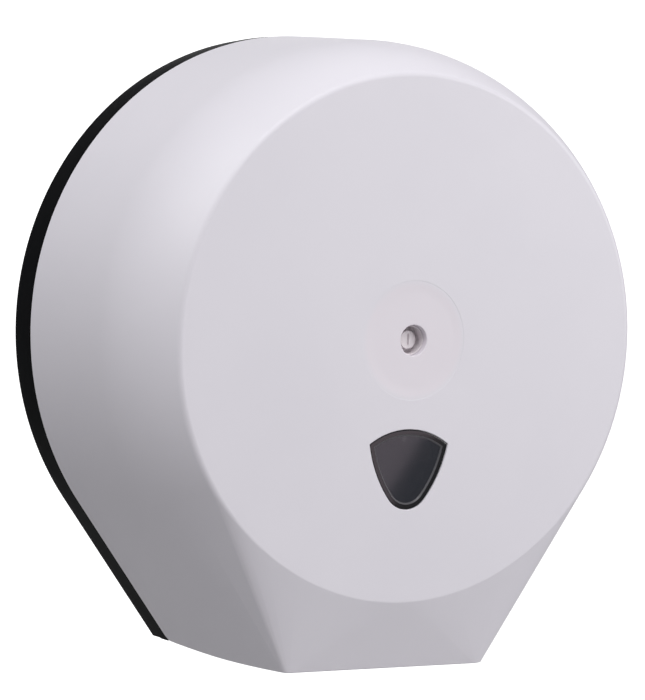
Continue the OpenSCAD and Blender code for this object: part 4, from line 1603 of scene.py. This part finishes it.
@dataclass
class TearBars:
    """The toothed bars on both sides of the paper's exit, in millimetres."""

    form: DrumForm
    x: float = 54.0
    thickness: float = 3.0
    height: float = 13.5
    front_gap: float = 14.0
    rear_d: float = 8.0
    foot_l: float = 17.0
    foot_t: float = 3.0
    bottom_gap: float = 3.5
    screw_inset: float = 4.4
    screw_left: float = 1.5
    tooth_h: float = 2.5
    tooth_root: float = 0.5
    tooth_pitch: float = 4.0
    tooth_start: float = 2.0
    tooth_end: float = 4.0
    # Keeps the rows' teeth overlapping
    tooth_lap: float = 0.001
    chamfer: float = 2.0
    bar_soft: float = 0.8
    tooth_soft: float = 0.3

    def __post_init__(self) -> None:
        """Works out the bars' lower edges, their front ends and the right foot's screws."""
        self.bottom = self.bottom_gap - self.form.foot_drop
        self.end_d = self.form.nose_d - self.front_gap
        middle = self.bottom + self.height / 2
        toe_x, heel_x = self.x - self.foot_l + self.screw_inset, self.x - self.screw_inset
        self.screw_places = [(toe_x, middle), (heel_x, middle)]

    def build(self) -> list[bpy.types.Object]:
        """Builds both bars and their screws."""
        bars, foot_d = [self.bar(side) for side in SIDES], self.rear_d + self.foot_t
        places = [(s * x, foot_d, z) for s in SIDES for x, z in self.screw_places]
        screw = Screw(COARSE, foot_d - self.screw_left)
        return bars + [screw.piece(places, 13, Body.BASE, "tear_bar_screws")]

    def bar(self, side: int) -> bpy.types.Object:
        """One bar with its foot and its row of teeth."""
        low, high, rear, end = self.bottom, self.bottom + self.height, self.rear_d, self.end_d
        inner, outer = side * self.x, side * (self.x + self.thickness)
        tip = [(end - self.chamfer, low), (end, low + self.chamfer), (end, high)]
        side_view = softened([(rear, low), *tip, (rear, high)], self.bar_soft)
        bar = Solid.prism(side_view, inner, outer, Axis.ACROSS)
        toe, heel = sorted((side * (self.x - self.foot_l), side * (self.x + self.thickness / 2)))
        bar.join(Solid.block((toe, heel), (rear, rear + self.foot_t), (low, high)))
        start, root = self.form.rear_d + self.tooth_start, low + self.tooth_root
        stop = start + self.tooth_pitch
        count = math.floor((end - self.tooth_end - start) / self.tooth_pitch)
        point = (start + self.tooth_pitch / 2, low - self.tooth_h)
        tooth = [(start - self.tooth_lap, root), (start, low), point, (stop, low), (stop, root)]
        values = {"Count": count, "Pitch": self.tooth_pitch * MM}
        part = Solid.prism(tooth, inner, outer, Axis.ACROSS)
        bar.join(row_tree().grown(Solid([], []), GREY_PART, values, part)).eased(self.tooth_soft)
        places = [(side * x, z) for x, z in self.screw_places]
        bar.cut(*Solid.rods(COARSE.hole_r, rear - PAST, rear + self.foot_t + PAST, places))
        node = "tear_bar_right" if side > 0 else "tear_bar_left"
        return bar.named(f"{node}_moulded", GREY_PART, Body.BASE, node)


@dataclass
class WallBase:
    """The black base with its rim, ribs, pads and lugs, in millimetres."""

    form: DrumForm
    hinge: Hinge
    carrier: RollCarrier
    bars: TearBars
    depth: float = 19.6
    rim_wall: float = 3.0
    rim_soft: float = 0.5
    floor_t: float = 3.0
    band_step: float = 0.7
    band_d: float = 10.0
    lip_h: float = 3.9
    lip_wall: float = 1.6
    lip_gap: float = 0.5
    lip_root: float = 0.4
    lip_ledge: float = 0.6
    lip_soft: float = 0.3
    lip_below: float = 10.0
    rib_h: float = 4.0
    rib_t: float = 2.5
    rib_soft: float = 0.4
    ring_rib_r: float = 92.0
    spokes: int = 8
    spoke_drop: float = 0.5
    hole_x: float = 90.0
    hole_z: float = 65.0
    hole_r: float = 3.0
    pad_r: float = 10.0
    pad_h: float = 2.0
    seat_margin: float = 3.0
    floor_left: float = 1.0

    def build(self) -> list[bpy.types.Object]:
        """Builds the base as one moulding."""
        base, root = self._tray(), self.floor_t - PAST
        seat_r = self.carrier.flange_r + self.seat_margin
        base.join(self._ring_rib(), Solid.pad(seat_r, root, self.carrier.seat_d), self._spokes(), self._lip())
        pad_d = self.floor_t + self.pad_h
        base.join(*[Solid.pad(self.pad_r, root, pad_d, place, 64) for place in self.hole_places()])
        base.join(*[self.hinge.lug(side) for side in SIDES], *[self._bar_pad(side) for side in SIDES])
        base.cut(*self._holes())
        return [base.named("wall_base_moulded", BLACK_BASE, Body.BASE, "back_plate", smooth=26)]

    def hole_places(self) -> list[Pair]:
        """x and height of the wall screws' holes."""
        return [(x * self.hole_x, z * self.hole_z) for x in SIDES for z in SIDES]

    def _tray(self) -> Solid:
        """The floor and the rim, whose rear band steps in."""
        step, soft, wall = self.band_step, self.rim_soft, self.rim_wall
        floor, band, top = self.floor_t, self.band_d, self.depth
        # Depth, inset of the sides and raise of the bottom edge at each ring
        rings = [
            (0.0, step + soft, soft), (0.15, step + 0.15, 0.15), (soft, step, 0.0),
            (band - 0.4, step, 0.0), (band, step + 0.35, 0.0), (band + 0.35, step + 0.35, 0.0),
            (band + 0.7, 0.15, 0.0), (band + 1.0, 0.0, 0.0),
            (top - soft, 0.0, 0.0), (top - 0.15, 0.15, 0.15), (top, soft, soft),
            (top, wall - soft, wall - soft), (top - soft, wall, wall),
            (floor + 1.0, wall, wall), (floor + 0.3, wall + 0.3, wall + 0.3), (floor, wall + 1.0, wall + 1.0),
        ]
        return Solid.lofted(
            [[at(x, d, z) for x, z in self.form.outline(inset, raised)] for d, inset, raised in rings]
        )

    def _ring_rib(self) -> Solid:
        """The floor's ring rib."""
        outer, inner, top = self.ring_rib_r, self.ring_rib_r - self.rib_t, self.floor_t + self.rib_h
        start, edge = self.floor_t - PAST, top - CHAMFER
        outside = [(outer, start), (outer, edge), (outer - CHAMFER, top)]
        inside = [(inner + CHAMFER, top), (inner, edge)]
        return Solid.turned([(inner, start), *outside, *inside], steps=180)

    def _spokes(self) -> Solid:
        """The floor's spoke ribs."""
        start, end = self.carrier.flange_r + self.seat_margin - PAST, self.ring_rib_r - self.rib_t / 2
        top, half = self.floor_t + self.rib_h - self.spoke_drop, self.rib_t / 2
        rib = Solid.block((start, end), (self.floor_t - PAST, top), (-half, half)).eased(self.rib_soft)
        values = {"Count": self.spokes, "First": math.pi / self.spokes}
        return spoke_tree().grown(Solid([], []), BLACK_BASE, values, rib)

    def _lip(self) -> Solid:
        """The lip that guides the cover's upper half onto the rim."""
        rim_r = self.form.side_r(self.form.rear_d)
        outer = rim_r - self.form.wall / math.cos(math.radians(self.form.draft)) - self.lip_gap
        inner, root = outer - self.lip_wall, rim_r - self.rim_wall + self.lip_root
        low, ledge, top = self.depth - self.lip_h, self.depth - self.lip_ledge, self.depth + self.lip_h
        corners = [(inner, low), (root, low), (root, ledge), (outer, ledge), (outer, top), (inner, top)]
        section = softened(corners, self.lip_soft)
        sweep = arc((0.0, 0.0), 1.0, -self.lip_below, 180 + self.lip_below, 120)
        return Solid.lofted([[at(r * c, d, r * s) for r, d in section] for c, s in sweep])

    def _bar_pad(self, side: int) -> Solid:
        """The pad that a tear bar's foot is screwed to."""
        bars, low = self.bars, self.rim_wall / 2 - self.form.foot_drop
        x = sorted((side * (bars.x - bars.foot_l), side * bars.x))
        return Solid.block(x, (self.floor_t - PAST, bars.rear_d), (low, bars.bottom + bars.height))

    def _holes(self) -> list[Solid]:
        """Every hole in the base."""
        hinge, carrier, bars, left = self.hinge, self.carrier, self.bars, self.floor_left
        bar_places = [(s * x, z) for s in SIDES for x, z in bars.screw_places]
        return [
            *Solid.rods(self.hole_r, -PAST, self.floor_t + self.pad_h + PAST, self.hole_places()),
            *Solid.rods(COARSE.hole_r, left, carrier.seat_d + PAST, carrier.flange_places()),
            *Solid.rods(COARSE.hole_r, left, bars.rear_d + PAST, bar_places),
            hinge.bore(hinge.lug_x + hinge.lug_t + PAST),
        ]


# ---------------------------------------------------------------- the studio


@dataclass(frozen=True)
class Softbox:
    """A square lamp that looks at the object, or at a place of its own."""

    name: str
    place: tuple[float, float, float]
    size: float
    power: float
    turn: float = 0.0
    aim: Optional[tuple[float, float, float]] = None
    tint: tuple[float, float, float] = (1.0, 1.0, 1.0)

    def build(self, target: Vector) -> None:
        """Adds the lamp, faced to the target and turned about its own axis."""
        data = bpy.data.lights.new(self.name, "AREA")
        data.shape, data.size, data.energy = "SQUARE", self.size, self.power
        data.color = self.tint
        lamp = added(self.name, data)
        way = Vector(self.aim or target) - Vector(self.place)
        facing = way.to_track_quat("-Z", "Y").to_matrix().to_4x4()
        lamp.matrix_world = (
            Matrix.Translation(self.place) @ facing @ Matrix.Rotation(math.radians(self.turn), 4, "Z")
        )


@dataclass
class View:
    """The camera at the photograph's place: angles in degrees, lengths in millimetres or pixels."""

    yaw: float = 31.49
    pitch: float = 3.11
    roll: float = 2.59
    distance: float = 1599.9
    target_d: float = 65.0
    slide_x: float = -5.305
    slide_z: float = -10.755
    focal: float = 2962.8
    long_side: float = 700.0
    sensor: float = 36.0

    def __post_init__(self) -> None:
        """Works out the camera's place and its directions."""
        yaw, pitch, roll = (math.radians(a) for a in (self.yaw, self.pitch, self.roll))
        flat = math.cos(pitch)
        self.ahead = Vector((math.sin(yaw) * flat, math.cos(yaw) * flat, -math.sin(pitch)))
        level = Vector((math.cos(yaw), -math.sin(yaw), 0))
        upright = level.cross(self.ahead)
        self.right = level * math.cos(roll) + upright * math.sin(roll)
        self.up = upright * math.cos(roll) - level * math.sin(roll)
        target = at(0, self.target_d, 0) + level * self.slide_x * MM + upright * self.slide_z * MM
        self.place = target - self.ahead * self.distance * MM

    def mirrored(self, depth: float, height: float, reach: float) -> Vector:
        """What the camera sees in a mirror on the object's front.

        Args:
            depth: The mirror's depth.
            height: The height of the spot that is looked at, in the middle of the object.
            reach: How far the seen place lies from that spot, in metres.

        Returns:
            The seen place.
        """
        spot = at(0, depth, height)
        ray = (spot - self.place).normalized()
        return spot + Vector((ray.x, -ray.y, ray.z)) * reach

    def build(self) -> None:
        """Adds the camera."""
        data = bpy.data.cameras.new("camera")
        data.sensor_width = self.sensor
        data.lens = self.sensor * self.focal / self.long_side
        data.clip_start, data.clip_end = 0.05, 60.0
        camera = added("camera", data)
        facing = Matrix((self.right, self.up, -self.ahead)).transposed().to_4x4()
        camera.matrix_world = Matrix.Translation(self.place) @ facing
        bpy.context.scene.camera = camera


@dataclass
class Studio:
    """The pale floor and its lit backdrop, the softboxes and the room's light; lengths in metres."""

    view: View
    lens_d: float = 144.5
    glint_z: float = -64.0
    floor_z: float = -1.4
    bend: float = 1.6
    near: float = -6.0
    far: float = 3.2
    top: float = 6.0
    half: float = 7.0
    glow_edge: Pair = (3.2, 1.9)
    glow: float = 1.05
    room_light: float = 0.229
    card_size: float = 0.6
    card_lean: float = 30.0
    card_reach: float = 2.5
    card_power: float = 1.5
    card_tint: tuple[float, float, float] = (0.98, 0.80, 0.90)
    boxes: tuple[Softbox, ...] = (
        Softbox("high_front", (-0.57, -1.57, 1.99), 1.2, 25.1),
        Softbox("left", (-1.7, -0.3, 1.9), 1.6, 29.0),
        Softbox("right", (2.1, -1.8, 0.6), 1.4, 34.5),
    )

    def build(self) -> None:
        """Sets up the stage."""
        self._floor()
        self._room()
        middle = at(0, self.view.target_d, 0)
        for box in (*self.boxes, self.window_card()):
            box.build(middle)
        self.view.build()

    def window_card(self) -> Softbox:
        """The front softbox, whose edge crosses the window's reflection."""
        seen = self.view.mirrored(self.lens_d, self.glint_z, self.card_reach)
        back = (at(0, self.lens_d, self.glint_z) - seen).normalized()
        lean = math.radians(self.card_lean)
        across = back.to_track_quat("-Z", "Y") @ Vector((-math.cos(lean), math.sin(lean), 0))
        place = seen + across * (self.card_size / 2)
        return Softbox(
            "window_card", tuple(place), self.card_size, self.card_power, -self.card_lean,
            tuple(place + back), self.card_tint,
        )

    def _floor(self) -> None:
        """A pale floor that curves up into a backdrop, lit where the camera sees it."""
        side = [(self.near, self.floor_z)]
        side += arc((self.far, self.floor_z + self.bend), self.bend, -90, 0, 16)
        side += [(self.far + self.bend, self.top)]
        rows = [[(x, y, z) for y, z in side] for x in (-self.half, self.half)]
        count = len(side)
        faces = [[i, i + 1, count + i + 1, count + i] for i in range(count - 1)]
        mesh = bpy.data.meshes.new("floor")
        mesh.from_pydata(rows[0] + rows[1], [], faces)
        mesh.shade_smooth()
        mesh.materials.append(self._floor_material())
        floor = added("floor", mesh)

    def _floor_material(self) -> bpy.types.Material:
        """A pale matt surface with the glow of a lamp on the backdrop behind the object."""
        ahead = self.view.ahead
        middle = self.view.place + ahead * ((self.far + self.bend - self.view.place.y) / ahead.y)
        graph = Graph("pale_floor")
        ends = {0: graph.places(), 1: tuple(middle)}
        gap = graph.node("ShaderNodeVectorMath", {"operation": "DISTANCE"}, ends, "Value")
        near = graph.band(gap, *self.glow_edge)
        return graph.surface(
            Base_Color=graph.mix(graph.noise(400.0), (0.60, 0.60, 0.60, 1), (0.58, 0.58, 0.585, 1)),
            Roughness=0.9,
            Emission_Color=graph.mix(near, (0.0, 0.0, 0.0, 1), (1.0, 1.0, 1.0, 1)),
            Emission_Strength=self.glow,
        )

    def _room(self) -> None:
        """A faint even light from all round."""
        world = bpy.data.worlds.new("soft_room")
        world.use_nodes = True
        background = world.node_tree.nodes["Background"]
        background.inputs["Color"].default_value = (1.0, 1.0, 1.0, 1)
        background.inputs["Strength"].default_value = self.room_light
        bpy.context.scene.world = world
        bpy.context.scene.view_settings.view_transform = "Standard"


def main() -> None:
    """Builds the studio and the object, piece by piece."""
    logging.basicConfig(level=logging.INFO, format="%(name)s: %(message)s")
    Studio(View()).build()
    form = DrumForm()
    lock, window, hinge = LockSizes(form), WindowSizes(), Hinge(form)
    carrier, bars = RollCarrier(lock), TearBars(form)
    pieces = Cover(form, lock, window, hinge).build()
    pieces += Lock(lock).build()
    pieces += carrier.build()
    pieces += bars.build()
    pieces += [hinge.pin(side) for side in SIDES]
    pieces += WallBase(form, hinge, carrier, bars).build()
    LOG.info("%d pieces", len(pieces))


if __name__ == "__main__":
    main()
